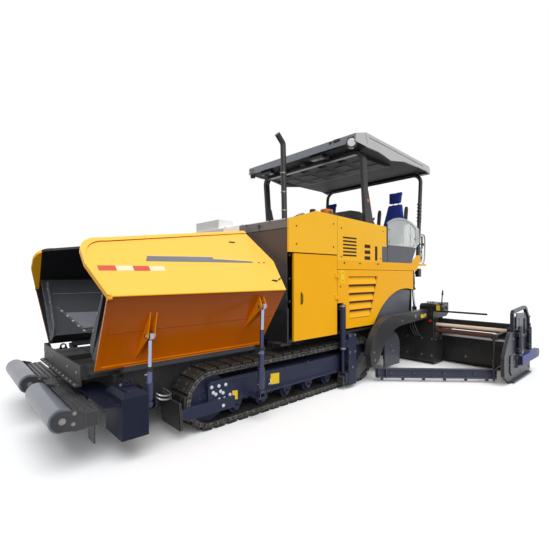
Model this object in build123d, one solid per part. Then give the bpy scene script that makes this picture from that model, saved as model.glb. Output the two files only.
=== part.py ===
"""Tracked asphalt paver with tilting hopper wings, roofed operator platform and extending screed.

Millimetres. +X points forward (towards the push rollers), +Y to the machine's left, +Z up.
The origin is on the ground under the middle of the whole machine.
"""

from build123d import *
from math import atan2, cos, degrees, hypot, pi, radians, sin
import os

os.makedirs("parts", exist_ok=True)

# Body width, plate thicknesses and running gaps
BODY_HALF = 1250          # tractor body, centre line to the outer face of its side panels
PANEL = 30                # folded side panels
PLATE = 25                # frame plates
SHEET = 12                # wing skins, liners and brackets
EAR = 10                  # ears beside a pin
RUN = 8                   # gap between pieces that move past each other
SEAT_GAP = 0.3            # gap between curved pieces that seat on each other
PIN_R = 11                # pins of all the cylinders
INNER = BODY_HALF - PANEL

# Crawler tracks
TRACK_OUT = BODY_HALF - 30
TRACK_WIDE = 300
TRACK_IN = TRACK_OUT - TRACK_WIDE
TRACK_R = 325             # to the face of the shoes
TRACK_TOP = 2 * TRACK_R
TRACK_FRONT_X = 2050      # front idler centre
TRACK_REAR_X = -650       # rear sprocket centre
SHOE_COUNT = 46
SHOE_DEEP = 34            # rubber pad standing out of the chain
CHAIN_DEEP = 46
CHAIN_IN = TRACK_R - SHOE_DEEP - CHAIN_DEEP
ROLLER_R = 78
ROLLER_COUNT = 6
FRAME_Z = (235, 470)      # beam of the track frame

# Chassis and conveyor
CHASSIS_HALF = TRACK_IN - 60
CHASSIS_Z = (240, TRACK_TOP - 10)
CHASSIS_X = (-1150, 2930)
DECK_Z = TRACK_TOP + 10   # underside of the conveyor deck
DECK_THICK = 30
DECK_X = (CHASSIS_X[0], 3120)
DECK_HALF = CHASSIS_HALF - 80
SLAT_COUNT = 16
TUNNEL_Z = (1180, 1200)   # roof of the tunnel over the conveyor
TUNNEL_X = (-1050, 900)

# Push rollers and their swinging beam
PUSH_ROLLER_R = 100
PUSH_ROLLER_X = 3450
PUSH_ROLLER_Z = 455
PUSH_ROLLER_Y = (205, 1185)
AXLE_R = 24
CHEEK = 16                # cheek plates that carry the axles
BEAM_X = (2990, 3330)
BEAM_Z = (350, 480)
BEAM_PIVOT_X = 3120
PIVOT_R = 45
APRON_X = 3190
APRON_Z = (590, 780)
APRON_HALF = DECK_HALF - 10

# Hopper wings, hinged along the chassis; a section through one is given as (y, z)
HINGE_Y = TRACK_IN + 10
HINGE_Z = DECK_Z + 45
HINGE_R = 22
HINGE_PIN_R = 12
HINGE_X = (1240, 2860)
FOOT = (HINGE_Y, HINGE_Z + 45)          # foot of the outer skin, over the hinge
FOLD = (BODY_HALF + 220, 1470)
CREST = (670, 2215)       # top edge at the rear
WING_BOX = 190            # outer to inner skin of the lower part
RIM = 42                  # band round the upper panel's front and top edges
FLAP_WIDE = 310           # plate that closes the wing's front, square to the skin
WING_REAR = (1135, 1195)  # x of the rear edge, at the foot and at the fold
WING_FRONT = (3125, 3187)

# Wall behind the hopper, and the cooler's nose that stands into it
WALL_X = 930
NOSE_X = (1100, 1470)
NOSE_HALF = 600
NOSE_TOP = 2240
NOSE_FOOT = 1190
NOSE_SKIN = 20
LID_SKIRT = 110

# Body
LOWER_Z = DECK_Z + 185    # lower edge of the side panels
DOOR_HINGE = (-45, BODY_HALF + 8)
DOOR_HINGE_Z = (1290, 1600)
DOOR_PIN_R = 4
DOOR_X = (-40, 840)
DOOR_Z = (LOWER_Z - 55, 1915)
SEAM_X = -50              # joint between the front and rear side panels
HOOD_FRONT_Z = 2350
HOOD_PEAK = (400, 2505)
HOOD_REAR = (-1370, 2445)
HOOD_LID_X = (380, 925)
HOOD_HINGE = (362, 2505)
STEP_Z = 2110
STEP_X = -1230
RAIL_Z = (1720, 1850)     # yellow rail along the platform's edge
REAR_X = -2290            # rear face of the tractor body
ARCH_TOP = 1365
BLADE_COUNT = 5           # louvre blades of the lower side panel
EXHAUST = (90, 300)
EXHAUST_R = 45

# Platform, seats and canopy
FLOOR_Z = (RAIL_Z[1] - 35, RAIL_Z[1])
FLOOR_X = (-2860, STEP_X - 10)
SEAT_Y = 800
ROOF_X = (-2900, -440)
ROOF_HALF = BODY_HALF + 35
ROOF_TOP = 3850
ROOF_FALL = 100           # fall of the roof from its front to its rear
ROOF_DEEP = 210           # depth of the roof's side behind its front band
ROOF_SKIN = 28
HEAD_Z = ROOF_TOP - ROOF_DEEP           # underside of the headliner
HOOP_HALF = BODY_HALF - 55
HOOP_BEND = 170
HOOP_R = 36

# Tow points and levelling cylinders
TOW_X = -110
TOW_Z = 130
TOW_PIN_R = 18
GUIDE_X = (-350, -170)
GUIDE_Y = (BODY_HALF - 14, BODY_HALF + 110)
GUIDE_Z = (50, 780)
LEVEL_Y = BODY_HALF + 48
NOSE_Y = (GUIDE_Y[0] + EAR + SEAT_GAP, GUIDE_Y[1] - EAR - SEAT_GAP)
ARM_Y = (BODY_HALF + 80, BODY_HALF + 190)

# Augers
AUGER_X = -1510
AUGER_Z = 345
AUGER_R = 195
AUGER_SHAFT_R = 45
AUGER_BOX = 120           # half width of the drive box between the augers
AUGER_TURNS = 3
AUGER_STEPS = 12          # flats in one turn of the flight
GUARD_Y = (BODY_HALF + 12, BODY_HALF + 32)

# Screed; the extensions stand run out and slide in behind the main screed
SCREED_X = (-2860, -2460)
SCREED_HALF = ARM_Y[1] + 110
SCREED_LOW = (15, 520)
SCREED_TOP = 850
TOWER_TOP = 1110
EXT_X = (-3330, -2890)
EXT_Y = (SCREED_HALF - 170, 2750)
EXT_TRAVEL = 1050
EXT_TOP = 500
TUBE_R = 42
TUBE_X = -2610
TUBE_Z = (720, 625)
GATE_Y = (EXT_Y[1] + 50, EXT_Y[1] + 100)
SPREAD_IN = (-800, ARM_Y[0] + 70)       # x, y of the plate's free end, beside the tow arm
SPREAD_OUT = (-2060, EXT_Y[1] - 90)
SPREAD_Z = (20, 60, 205)                # teeth, channel's foot and top
SPREAD_PIN_R = 16

# Hydraulic cylinders. Those of the wings stand across the machine: x, then (y, z) of the base pin on
# the tractor and of the rod's pin on the wing, length and radius of the barrel, height of its collar.
CYL_FRONT = dict(x=2740, base=(BODY_HALF - 10, 440), pin=(BODY_HALF + 12, 1075), barrel=340, r=34, rod=19, collar=200)
CYL_REAR = dict(x=1520, base=(BODY_HALF + 150, 330), pin=(BODY_HALF + 180, 1290), barrel=500, r=40, rod=24,
                collar=270)
# Those of the screed stand along the machine: y, then (x, z) of the pins on the platform and screed.
LIFT = dict(y=BODY_HALF - 78, top=(-2380, 1765), pin=(-2490, 1010), barrel=405, r=46, rod=24, collar=300)
EYE_HALF = 20             # half thickness of an eye
BORE_END = 22             # closed end of a barrel, below its bore
BASE_EYE_R = 32
ROD_EYE_R = 44
ROD_EYE_HOLE = 27         # the rod's eye hangs free of its pin by this radius
LASHING_X = 2910
LASHING_Y = BODY_HALF - 97.5
LASHING_Z = 660
LASHING_R = 22


def slab(x, y, z):
    """Box between two values on each axis, given in either order."""
    x, y, z = sorted(x), sorted(y), sorted(z)
    middle = [(a + b) / 2 for a, b in (x, y, z)]
    return Pos(*middle) * Box(x[1] - x[0], y[1] - y[0], z[1] - z[0])


def outline_face(plane, outline):
    """Face on a plane, from a list of points or from joined lines and arcs."""
    if isinstance(outline, list):
        outline = Polyline(*outline, close=True)
    return plane * make_face(outline)


def side_plate(outline, y):
    """Outline in (x, z), extruded across the machine between two values of y."""
    y = sorted(y)
    plane = Plane(origin=(0, y[0], 0), x_dir=(1, 0, 0), z_dir=(0, -1, 0))
    return extrude(outline_face(plane, outline), amount=y[1] - y[0], dir=(0, 1, 0))


def cross_plate(outline, x):
    """Outline in (y, z), extruded along the machine between two values of x."""
    x = sorted(x)
    plane = Plane(origin=(x[0], 0, 0), x_dir=(0, 1, 0), z_dir=(1, 0, 0))
    return extrude(outline_face(plane, outline), amount=x[1] - x[0], dir=(1, 0, 0))


def floor_plate(outline, z):
    """Outline in (x, y), extruded up between two heights."""
    return extrude(outline_face(Plane.XY.offset(z[0]), outline), amount=z[1] - z[0], dir=(0, 0, 1))


def bar(start, end, radius):
    """Round bar between two points."""
    start, end = Vector(*start), Vector(*end)
    run = end - start
    return Plane(origin=start, z_dir=run) * Cylinder(radius, run.length, align=(Align.CENTER, Align.CENTER, Align.MIN))


def bent_tube(points, bend, radius):
    """Round tube along straight runs joined by bends."""
    path = FilletPolyline(*points, radius=bend)
    return sweep(Plane(origin=path @ 0, z_dir=path % 0) * Circle(radius), path=path)


def flipped(shape):
    """The same piece on the machine's right side."""
    return mirror(shape, about=Plane.XZ)


def both(shape):
    return [shape, flipped(shape)]


def fused(pieces):
    """One shape out of several that touch."""
    whole = pieces[0]
    for piece in pieces[1:]:
        whole = whole + piece
    return whole


def save(name, shape):
    items = list(shape) if isinstance(shape, (list, tuple)) else [shape]
    solids = [s for item in items for s in item.solids()]
    export_step(Compound(children=solids) if len(solids) > 1 else solids[0], f"parts/{name}.step")


# Crawler tracks: one closed loop each, its shoes standing out of the chain

def loop_point(distance, outward):
    """Point on the track's line at a distance round it, moved outwards from the chain's inside."""
    span = TRACK_FRONT_X - TRACK_REAR_X
    bend = pi * TRACK_R
    distance %= 2 * (span + bend)
    r = CHAIN_IN + outward
    if distance < span:
        return (TRACK_REAR_X + distance, TRACK_R - r)
    if distance < span + bend:
        turn = (distance - span) / TRACK_R - pi / 2
        return (TRACK_FRONT_X + r * cos(turn), TRACK_R + r * sin(turn))
    if distance < 2 * span + bend:
        return (TRACK_FRONT_X - (distance - span - bend), TRACK_R + r)
    turn = (distance - 2 * span - bend) / TRACK_R + pi / 2
    return (TRACK_REAR_X + r * cos(turn), TRACK_R + r * sin(turn))


def make_track():
    pitch = 2 * (TRACK_FRONT_X - TRACK_REAR_X + pi * TRACK_R) / SHOE_COUNT
    # one shoe, as shares of the pitch and depths out of the chain: a pad with tapered flanks
    shoe = ((0.09, 0), (0.15, SHOE_DEEP), (0.85, SHOE_DEEP), (0.91, 0))
    outline = [loop_point((i + 0.5 + share) * pitch, CHAIN_DEEP + out) for i in range(SHOE_COUNT) for share, out in shoe]
    across = (TRACK_IN, TRACK_OUT)
    track = side_plate(outline, across)
    track -= slab((TRACK_REAR_X, TRACK_FRONT_X), across, (TRACK_R - CHAIN_IN, TRACK_R + CHAIN_IN))
    for x in (TRACK_REAR_X, TRACK_FRONT_X):
        track -= bar((x, across[0], TRACK_R), (x, across[1], TRACK_R), CHAIN_IN)
    return track


def make_track_frame():
    low, high = FRAME_Z
    wheel_y = (TRACK_IN + 70, TRACK_OUT - 70)
    skin_y = (TRACK_OUT - 40, TRACK_OUT + 5)
    lip_y = (skin_y[1], TRACK_OUT + 45)
    front, rear = TRACK_FRONT_X, TRACK_REAR_X
    pieces = [
        slab((rear + 150, front - 130), (TRACK_IN + 60, TRACK_OUT - 40), FRAME_Z),
        side_plate([(front - 260, low + 15), (rear + 620, low + 15), (rear + 560, low + 70), (rear + 560, high - 30),
                    (rear + 620, high), (1250, high + 10), (1400, high + 35), (front + 10, high + 35),
                    (front + 40, high), (front + 40, low + 55), (front - 260, low + 55)], skin_y),
        side_plate([(front - 275, low - 45), (front + 310, low - 45), (front + 365, low - 20), (front + 365, low + 55),
                    (front + 310, low + 75), (front - 275, low + 75)], lip_y),
        slab((rear + 620, 1370), (skin_y[0], lip_y[1]), (low + 15, low + 33)),
        side_plate([(front + 365, 110), (front + 385, 110), (front + 405, 385), (front + 385, 385), (front + 365, 290)],
                   (CHASSIS_HALF, lip_y[1])),
        slab((300, 900), (CHASSIS_HALF, TRACK_IN + 60), (300, 440)),
    ]
    for x in (front, rear):
        pieces.append(bar((x, wheel_y[0], TRACK_R), (x, wheel_y[1], TRACK_R), CHAIN_IN - SEAT_GAP))
    step = (front - rear - 700) / (ROLLER_COUNT - 1)
    height = SHOE_DEEP + CHAIN_DEEP + ROLLER_R + SEAT_GAP
    for i in range(ROLLER_COUNT):
        x = rear + 350 + i * step
        pieces.append(bar((x, wheel_y[0], height), (x, wheel_y[1], height), ROLLER_R))
        if rear + 620 < x < front - 300:
            lobe = [(x - 90, low + 20), (x - 55, low - 75), (x + 55, low - 75), (x + 90, low + 20)]
            pieces.append(side_plate(lobe, (TRACK_OUT - 70, TRACK_OUT - 30)))
    # bracket that carries the rear wing cylinder
    x = CYL_REAR["x"]
    y, z = CYL_REAR["base"]
    pieces.append(slab((x - 60, x + 60), (skin_y[1] - 1, y + 40), (z - 70, z - 54)))
    pieces.append(bar((x - 38, y, z), (x + 38, y, z), PIN_R))
    for side in (-1, 1):
        ear = cross_plate([(y - 40, z - 55), (y + 40, z - 55), (y + 24, z + 22), (y - 24, z + 22)],
                          (x + side * 28, x + side * (28 + EAR)))
        pieces.append(ear)
    return fused(pieces)


def make_chassis():
    x, z = CHASSIS_X, CHASSIS_Z
    width = (-CHASSIS_HALF, CHASSIS_HALF)
    pieces = [slab(x, width, (z[0], z[0] + PLATE))]
    for at in (x[0], -300, 700, 1700, 2500, x[1] - PLATE):
        pieces.append(slab((at, at + PLATE), width, z))
    seat = BEAM_Z[0] - SEAT_GAP
    pieces.append(floor_plate([(x[1] - 1, -260), (BEAM_PIVOT_X + 90, -140), (BEAM_PIVOT_X + 90, 140), (x[1] - 1, 260)],
                              (seat - 45, seat)))
    pieces.append(bar((BEAM_PIVOT_X, 0, seat - 1), (BEAM_PIVOT_X, 0, BEAM_Z[1] + 60), PIVOT_R))
    # ears that hold the ends of each wing's hinge pin, as (y, z)
    lug = ((CHASSIS_HALF - 1, z[1] - 80), (CHASSIS_HALF - 1, z[1] + 15), (HINGE_Y - 22, HINGE_Z + 27),
           (HINGE_Y + 22, HINGE_Z + 27), (HINGE_Y + 22, HINGE_Z - 15), (HINGE_Y - 15, HINGE_Z - 37),
           (CHASSIS_HALF + 20, z[1]), (CHASSIS_HALF + 20, z[1] - 80))
    for side in (-1, 1):
        pieces.append(slab(x, (side * CHASSIS_HALF, side * (CHASSIS_HALF - PLATE)), z))
        pieces.append(slab(x, (side * CHASSIS_HALF, side * (CHASSIS_HALF - 200)), (z[1] - 1, DECK_Z)))
        for end, reach in ((HINGE_X[0] - 30, 1), (HINGE_X[1] + 30, -1)):
            pieces.append(cross_plate([(side * y, up) for y, up in lug], (end, end + reach * (30 - SEAT_GAP))))
            pieces.append(bar((end, side * HINGE_Y, HINGE_Z), (end + reach * 70, side * HINGE_Y, HINGE_Z), HINGE_PIN_R))
    return fused(pieces)


def make_deck():
    """Conveyor floor with two lanes of slats beside the chain guard."""
    top = DECK_Z + DECK_THICK
    pieces = [slab(DECK_X, (-DECK_HALF, DECK_HALF), (DECK_Z, top)), slab(DECK_X, (-30, 30), (top - 1, top + 60))]
    step = (DECK_X[1] - 60 - DECK_X[0]) / SLAT_COUNT
    for i in range(SLAT_COUNT):
        x = DECK_X[0] + i * step
        for side in (-1, 1):
            pieces.append(slab((x, x + 26), (side * 60, side * (DECK_HALF - 80)), (top - 1, top + 16)))
    return fused(pieces)


def make_apron():
    """Low wall across the hopper's mouth, with a foot flange and short returns at its ends."""
    x, (low, high) = APRON_X, APRON_Z
    pieces = [
        slab((x, x + 16), (-APRON_HALF, APRON_HALF), APRON_Z),
        slab((x, x + 62), (-APRON_HALF, APRON_HALF), (low, low + SHEET)),
        slab((CHASSIS_X[1], x + 1), (-APRON_HALF + 10, APRON_HALF - 10), (DECK_Z - SHEET, DECK_Z)),
    ]
    for side in (-1, 1):
        end = [(x - 60, low + 95), (x - 60, high - 30), (x - 35, high + 10), (x + 16, high + 10), (x + 16, low + 95)]
        pieces.append(side_plate(end, (side * (APRON_HALF - 1), side * (APRON_HALF + 15))))
    return fused(pieces)


def make_corner_box():
    """Weight box ahead of the track with a bevelled lid, and the lashing eye on it."""
    x, y, z = (2790, 3030), (TRACK_IN + 30, BODY_HALF + 100), (210, 610)
    box = slab(x, y, z)
    box = chamfer(box.edges().group_by(Axis.Z)[-1], 38)
    tie = slab((x[0] + 10, CHASSIS_X[1]), (CHASSIS_HALF, y[0] + 1), (300, 520))
    eye_y = (LASHING_Y - 12.5, LASHING_Y + 12.5)
    eye = side_plate(
        Polyline((LASHING_X + 60, z[1] - 2), (LASHING_X + 40, LASHING_Z))
        + ThreePointArc((LASHING_X + 40, LASHING_Z), (LASHING_X, LASHING_Z + 40), (LASHING_X - 40, LASHING_Z))
        + Polyline((LASHING_X - 40, LASHING_Z), (LASHING_X - 60, z[1] - 2), (LASHING_X + 60, z[1] - 2)), eye_y)
    eye -= bar((LASHING_X, eye_y[0] - 5, LASHING_Z), (LASHING_X, eye_y[1] + 5, LASHING_Z), LASHING_R)
    # fixed deck over the swinging beam, carried by the box and the chassis's front
    deck_x, deck_y, deck_z = (x[1], x[1] + 120), (420, BODY_HALF + 30), (BEAM_Z[1] + 20, BEAM_Z[1] + 20 + SHEET)
    deck = slab((x[1] - 1, deck_x[1]), deck_y, deck_z) + slab((CHASSIS_X[1], x[1]), (deck_y[0], y[0] + 1), deck_z)
    return box + tie + eye + deck


def make_cylinder_foot():
    """Bracket off the chassis side that carries the front wing cylinder."""
    x = CYL_FRONT["x"]
    y, z = CYL_FRONT["base"]
    arm = cross_plate([(CHASSIS_HALF, z - 150), (y + 10, z - 45), (y + 45, z - 20), (y + 45, z + 20), (y + 20, z + 45),
                       (CHASSIS_HALF, z + 90)], (x - 62, x - 44))
    return arm + bar((x - 60, y, z), (x + 24, y, z), PIN_R)


def beam_plan(inset):
    """Half plan of the beam as (x, y): broad at the pivot, with an arm out to each end."""
    rear, front = BEAM_X[0] + inset, BEAM_X[1] - inset
    end = PUSH_ROLLER_Y[1] + 5 - inset
    side = [(front, end), (rear + 180, end), (rear + 180, 800), (rear, 300)]
    return side + [(x, -y) for x, y in reversed(side)]


def make_beam():
    """Swinging beam: a deck over side webs, cheek plates for both push rollers and their stub axles."""
    low, high = BEAM_Z
    pieces = [floor_plate(beam_plan(0), BEAM_Z) - floor_plate(beam_plan(SHEET), (low - 1, high - SHEET))]
    pieces.append(bar((BEAM_PIVOT_X, 0, low), (BEAM_PIVOT_X, 0, high + 50), 110))
    x, z, front = PUSH_ROLLER_X, PUSH_ROLLER_Z, BEAM_X[1]
    cheek = (
        Polyline((x, z - 85), (front + 20, low), (front - 60, low), (front - 60, high + 12),
                 (front + 20, high + 40), (x, z + 85))
        + ThreePointArc((x, z + 85), (x + 85, z), (x, z - 85))
    )
    for side in (-1, 1):
        for y in (PUSH_ROLLER_Y[0] - 25, PUSH_ROLLER_Y[1] + 5):
            pieces.append(side_plate(cheek, (side * y, side * (y + CHEEK))))
        for y, reach in ((PUSH_ROLLER_Y[0] - 20, 75), (PUSH_ROLLER_Y[1] + 20, -75)):
            pieces.append(bar((x, side * y, z), (x, side * (y + reach), z), AXLE_R))
        for i in range(3):
            rib = front - 30 - 48 * i
            pieces.append(slab((rib - 26, rib), (side * PUSH_ROLLER_Y[0], side * (PUSH_ROLLER_Y[1] - 30)),
                               (high - 1, high + SHEET)))
        pieces.append(slab((BEAM_X[0] + 185, BEAM_X[0] + 197), (side * 960, side * 1130), (170, low + 1)))
    whole = fused(pieces)
    return whole - bar((BEAM_PIVOT_X, 0, low - 1), (BEAM_PIVOT_X, 0, high + 51), PIVOT_R + SEAT_GAP)


def make_push_roller():
    y0, y1 = PUSH_ROLLER_Y
    x, z = PUSH_ROLLER_X, PUSH_ROLLER_Z
    drum = bar((x, y0, z), (x, y1, z), PUSH_ROLLER_R)
    for y in (y0, y1 - 60):
        drum -= bar((x, y, z), (x, y + 60, z), AXLE_R + SEAT_GAP)
    return drum


# Hydraulic cylinders: the barrel swings on its base pin, and the rod slides in it

def cylinder_line(c):
    """Distance between a cylinder's pins, a function for points along it, and the direction of its pins."""
    if c is LIFT:
        (a0, b0), (a1, b1) = c["top"], c["pin"]
        place, across = (lambda a, b: (a, c["y"], b)), (0, 1, 0)
    else:
        (a0, b0), (a1, b1) = c["base"], c["pin"]
        place, across = (lambda a, b: (c["x"], a, b)), (1, 0, 0)
    length = hypot(a1 - a0, b1 - b0)
    return length, (lambda d: place(a0 + (a1 - a0) * d / length, b0 + (b1 - b0) * d / length)), across


def pin_bar(centre, across, half, radius):
    """Round bar along a pin's line, to both sides of a point on it."""
    start = [p - half * d for p, d in zip(centre, across)]
    end = [p + half * d for p, d in zip(centre, across)]
    return bar(start, end, radius)


def make_barrel(c):
    length, at, across = cylinder_line(c)
    foot = BASE_EYE_R + RUN
    tube = bar(at(foot), at(c["collar"]), c["r"]) + bar(at(c["collar"] - 1), at(c["barrel"]), c["r"] - 9)
    tube -= bar(at(foot + BORE_END), at(c["barrel"] + 1), c["rod"] + SEAT_GAP)
    eye = pin_bar(at(0), across, EYE_HALF, BASE_EYE_R) + bar(at(BASE_EYE_R - 8), at(foot + 1), EYE_HALF)
    return tube + eye - pin_bar(at(0), across, EYE_HALF + 1, PIN_R + 1)


def make_rod(c):
    length, at, across = cylinder_line(c)
    rod = bar(at(c["barrel"] - 35), at(length - ROD_EYE_HOLE - 5), c["rod"])
    eye = pin_bar(at(length), across, EYE_HALF, ROD_EYE_R)
    return rod + eye - pin_bar(at(length), across, EYE_HALF + 1, ROD_EYE_HOLE)


# Hopper wings, drawn in the plane of each skin as (x, distance up the skin)

def skin_plane(low, high):
    """Plane of a skin from its lower to its upper line, its z pointing into the hopper."""
    dy, dz = high[0] - low[0], high[1] - low[1]
    return Plane(origin=(0, *low), x_dir=(1, 0, 0), z_dir=(0, -dz, dy)), hypot(dy, dz)


def in_wing(along, deep):
    """Point (y, z) of the wing's section: a distance up the lower skin, and one into the hopper."""
    plane = skin_plane(FOOT, FOLD)[0]
    up, inward = plane.y_dir, plane.z_dir
    return (FOOT[0] + up.Y * along + inward.Y * deep, FOOT[1] + up.Z * along + inward.Z * deep)


def lower_outline():
    """Lower skin between its foot and the fold."""
    length = skin_plane(FOOT, FOLD)[1]
    return [(WING_REAR[0], 0), (WING_FRONT[0], 0), (WING_FRONT[1], length), (WING_REAR[1], length)]


def upper_edge():
    """Upper panel between the fold and the crest, with a rounded corner in front."""
    length = skin_plane(FOLD, CREST)[1]
    rear, front = WING_REAR[1], WING_FRONT[1]
    corner = (front - 110, length * 0.68)
    nose = (front + 93, length * 0.48)
    return (
        Polyline(nose, (front + 93, length * 0.35), (front, 0), (rear, 0), (rear - 135, length * 0.46),
                 (rear + 5, length), corner)
        + ThreePointArc(corner, (front + 48, length * 0.615), nose)
    )


def on_skin(plane, outline, start, end):
    """Outline on a skin's plane, extruded between two distances into the hopper."""
    face = outline_face(plane.offset(start), outline)
    return extrude(face, amount=end - start, dir=plane.z_dir)


def edge_band(plane, outline, shift, start, end):
    """Band left of an outline when a copy of it is moved aside."""
    shape = on_skin(plane, outline, start, end)
    along = plane.x_dir * shift[0] + plane.y_dir * shift[1]
    return shape - Pos(along.X, along.Y, along.Z) * on_skin(plane, outline, start - 1, end + 1)


def make_clevis(c, low, high):
    """Two ears off the wing's skin with the pin of the rod between them."""
    y, z = c["pin"]
    slope = (FOLD[0] - FOOT[0]) / (FOLD[1] - FOOT[1])
    pieces = []
    for side in (-1, 1):
        inner = c["x"] + side * (EYE_HALF + 6)
        outer = inner + side * EAR
        root = [(FOOT[0] + (up - FOOT[1]) * slope - 5, up) for up in (low, high)]
        pieces.append(cross_plate([root[0], (y + 26, z - 20), (y + 28, z + 16), root[1]], (inner, outer)))
        pieces.append(bar((inner, y, z), (outer + side * 4, y, z), 32))
    pieces.append(bar((c["x"] - EYE_HALF - 12, y, z), (c["x"] + EYE_HALF + 12, y, z), PIN_R))
    return pieces


def make_wing():
    """Left wing: folded outer skin with its rims, end rib, hinge tube and cylinder ears."""
    lower, low_length = skin_plane(FOOT, FOLD)
    upper = skin_plane(FOLD, CREST)[0]
    h0, h1 = HINGE_X
    pieces = [
        on_skin(lower, lower_outline(), 0, SHEET),
        edge_band(lower, lower_outline(), (-RIM, RIM), -8, 0.5),
        on_skin(upper, upper_edge(), 0, PANEL),
        edge_band(upper, upper_edge(), (-RIM, -RIM), -12, PANEL),
        cross_plate([(HINGE_Y - 10, HINGE_Z), (HINGE_Y + 16, HINGE_Z), in_wing(20, 0), in_wing(0, SHEET)], (h0, h1)),
        bar((h0, HINGE_Y, HINGE_Z), (h1, HINGE_Y, HINGE_Z), HINGE_R),
    ]
    depth = WING_BOX - SHEET - RUN
    for x in (WING_REAR[1] + 30, 1900, 2500):
        rib = [in_wing(SHEET + 1, 0), in_wing(low_length, 0), in_wing(low_length, depth), in_wing(SHEET + 1, depth)]
        pieces.append(cross_plate(rib, (x, x + SHEET)))
    pieces += make_clevis(CYL_FRONT, 800, 1310) + make_clevis(CYL_REAR, 1010, 1400)
    wing = fused(pieces)
    for start, end in ((h0 - 1, h0 + 45), (h1 - 45, h1 + 1)):
        wing -= bar((start, HINGE_Y, HINGE_Z), (end, HINGE_Y, HINGE_Z), HINGE_PIN_R + SEAT_GAP)
    return wing


def make_liner():
    """Wear plates inside the wing, the plate that closes its front, and a doubling plate beside it."""
    lower, low_length = skin_plane(FOOT, FOLD)
    top = low_length - 20
    front = WING_FRONT[0] - 20
    inside = [(WING_REAR[0] + 60, 0), (front, 0), (front + 50, top), (WING_REAR[1] + 40, top)]
    corner = 130
    start, low, high = SHEET + 1, 8, top - 40
    flap = (
        Polyline(in_wing(low, start), in_wing(high, start), in_wing(high - 70, FLAP_WIDE), in_wing(corner, FLAP_WIDE))
        + ThreePointArc(in_wing(corner, FLAP_WIDE), in_wing(corner * 0.3, FLAP_WIDE - corner * 0.3),
                        in_wing(low, FLAP_WIDE - corner))
        + Line(in_wing(low, FLAP_WIDE - corner), in_wing(low, start))
    )
    pieces = [
        on_skin(lower, inside, WING_BOX - SHEET, WING_BOX),
        cross_plate([in_wing(0, SHEET), in_wing(0, WING_BOX), in_wing(SHEET, WING_BOX), in_wing(SHEET, SHEET)],
                    (WING_REAR[0] + 60, front)),
        cross_plate(flap, (front - SHEET, front)),
        on_skin(lower, [(front - 10, 0), (front - 400, 0), (front - 95, 430), (front + 14, 430)], WING_BOX - 1,
                WING_BOX + SHEET),
    ]
    return fused(pieces)


# Wall behind the hopper, body frame and engine

def nose_outline(inset):
    """Plan of the nose that stands between the wings, its outer skin moved in by an inset."""
    wide, narrow = INNER - 6 - inset, NOSE_HALF - inset
    half = [(WALL_X - 6, wide), (NOSE_X[0] - inset / 2, narrow), (NOSE_X[1] - inset, narrow)]
    return half + [(x, -y) for x, y in reversed(half)]


def nose_top(x):
    """Height of the hood's top over the nose."""
    slope = (HOOD_FRONT_Z - NOSE_TOP) / (NOSE_X[1] - WALL_X)
    return HOOD_FRONT_Z - (x - WALL_X) * slope


def make_back_wall():
    """Wall behind the hopper with the engine cooler's nose, open below where the conveyor passes."""
    seam, wide = LID_SKIRT + RUN, BODY_HALF + 50
    ring = floor_plate(nose_outline(0), (NOSE_FOOT, HOOD_FRONT_Z))
    ring -= floor_plate(nose_outline(NOSE_SKIN), (NOSE_FOOT + NOSE_SKIN, HOOD_FRONT_Z + 1))
    x0, x1 = WALL_X - 60, NOSE_X[1] + 20
    above = [(x0, nose_top(x0) - seam), (x1, nose_top(x1) - seam), (x1, HOOD_FRONT_Z + 50), (x0, HOOD_FRONT_Z + 50)]
    wall = ring - side_plate(above, (-wide, wide))
    wall -= slab((NOSE_X[1] - 60, NOSE_X[1] + 1), (-NOSE_HALF + 70, NOSE_HALF - 70), (NOSE_FOOT + 230, NOSE_TOP - 220))
    edge = INNER - 6
    foot = slab((WALL_X - PANEL, WALL_X - 6), (-edge, edge), (LOWER_Z - 70, NOSE_FOOT + NOSE_SKIN))
    way = DECK_HALF - 60
    foot -= slab((WALL_X - 2 * PANEL, WALL_X + PANEL), (-way, way), (LOWER_Z - 80, TUNNEL_Z[0]))
    return wall + foot


def make_body_frame():
    """Shelf, conveyor tunnel, bulkheads and posts that the side panels bolt to."""
    x0, x1 = TUNNEL_X
    shelf_z = (LOWER_Z - 70, LOWER_Z - 40)
    wall_y = (DECK_HALF - 60, DECK_HALF - 30)
    width = (-INNER, INNER)
    shelf = slab((x0, x1), width, shelf_z) - slab((x0 - 50, x1 + 50), (-wall_y[0], wall_y[0]), (shelf_z[0] - 10, LOWER_Z))
    bulkhead = slab((x0, x0 + PLATE), width, (shelf_z[0], TUNNEL_Z[1]))
    bulkhead -= slab((x0 - 10, x0 + 50), (-wall_y[0], wall_y[0]), (shelf_z[0] - 10, TUNNEL_Z[0]))
    pieces = [
        shelf, bulkhead,
        slab((x0, x1), (-wall_y[1], wall_y[1]), TUNNEL_Z),
        slab((SEAM_X - PLATE, SEAM_X), width, (TUNNEL_Z[1] - 1, HOOD_REAR[1] - 65)),
        slab((REAR_X, REAR_X + PLATE), width, (950, FLOOR_Z[0] - 15)),
        slab((REAR_X, x0 + PLATE), (-INNER + 20, INNER - 20), (975, 1000)),
    ]
    for side in (-1, 1):
        pieces.append(slab((x0, x1), (side * wall_y[0], side * wall_y[1]), (shelf_z[0], TUNNEL_Z[1])))
        for post in ((x0, x0 + 350), (200, x1)):
            pieces.append(slab(post, (side * (DECK_HALF + 20), side * (DECK_HALF + 70)), (DECK_Z, shelf_z[0] + 1)))
    return fused(pieces)


def make_engine():
    return slab((-1150, -150), (-420, 420), (TUNNEL_Z[1], 2150))


# Side panels, doors and covers

def window_row(x, z, height, step, count):
    """Cutters through the side panel: like slots above each other."""
    return [slab(x, (INNER - PANEL, BODY_HALF + 1), (z + i * step, z + i * step + height)) for i in range(count)]


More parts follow.
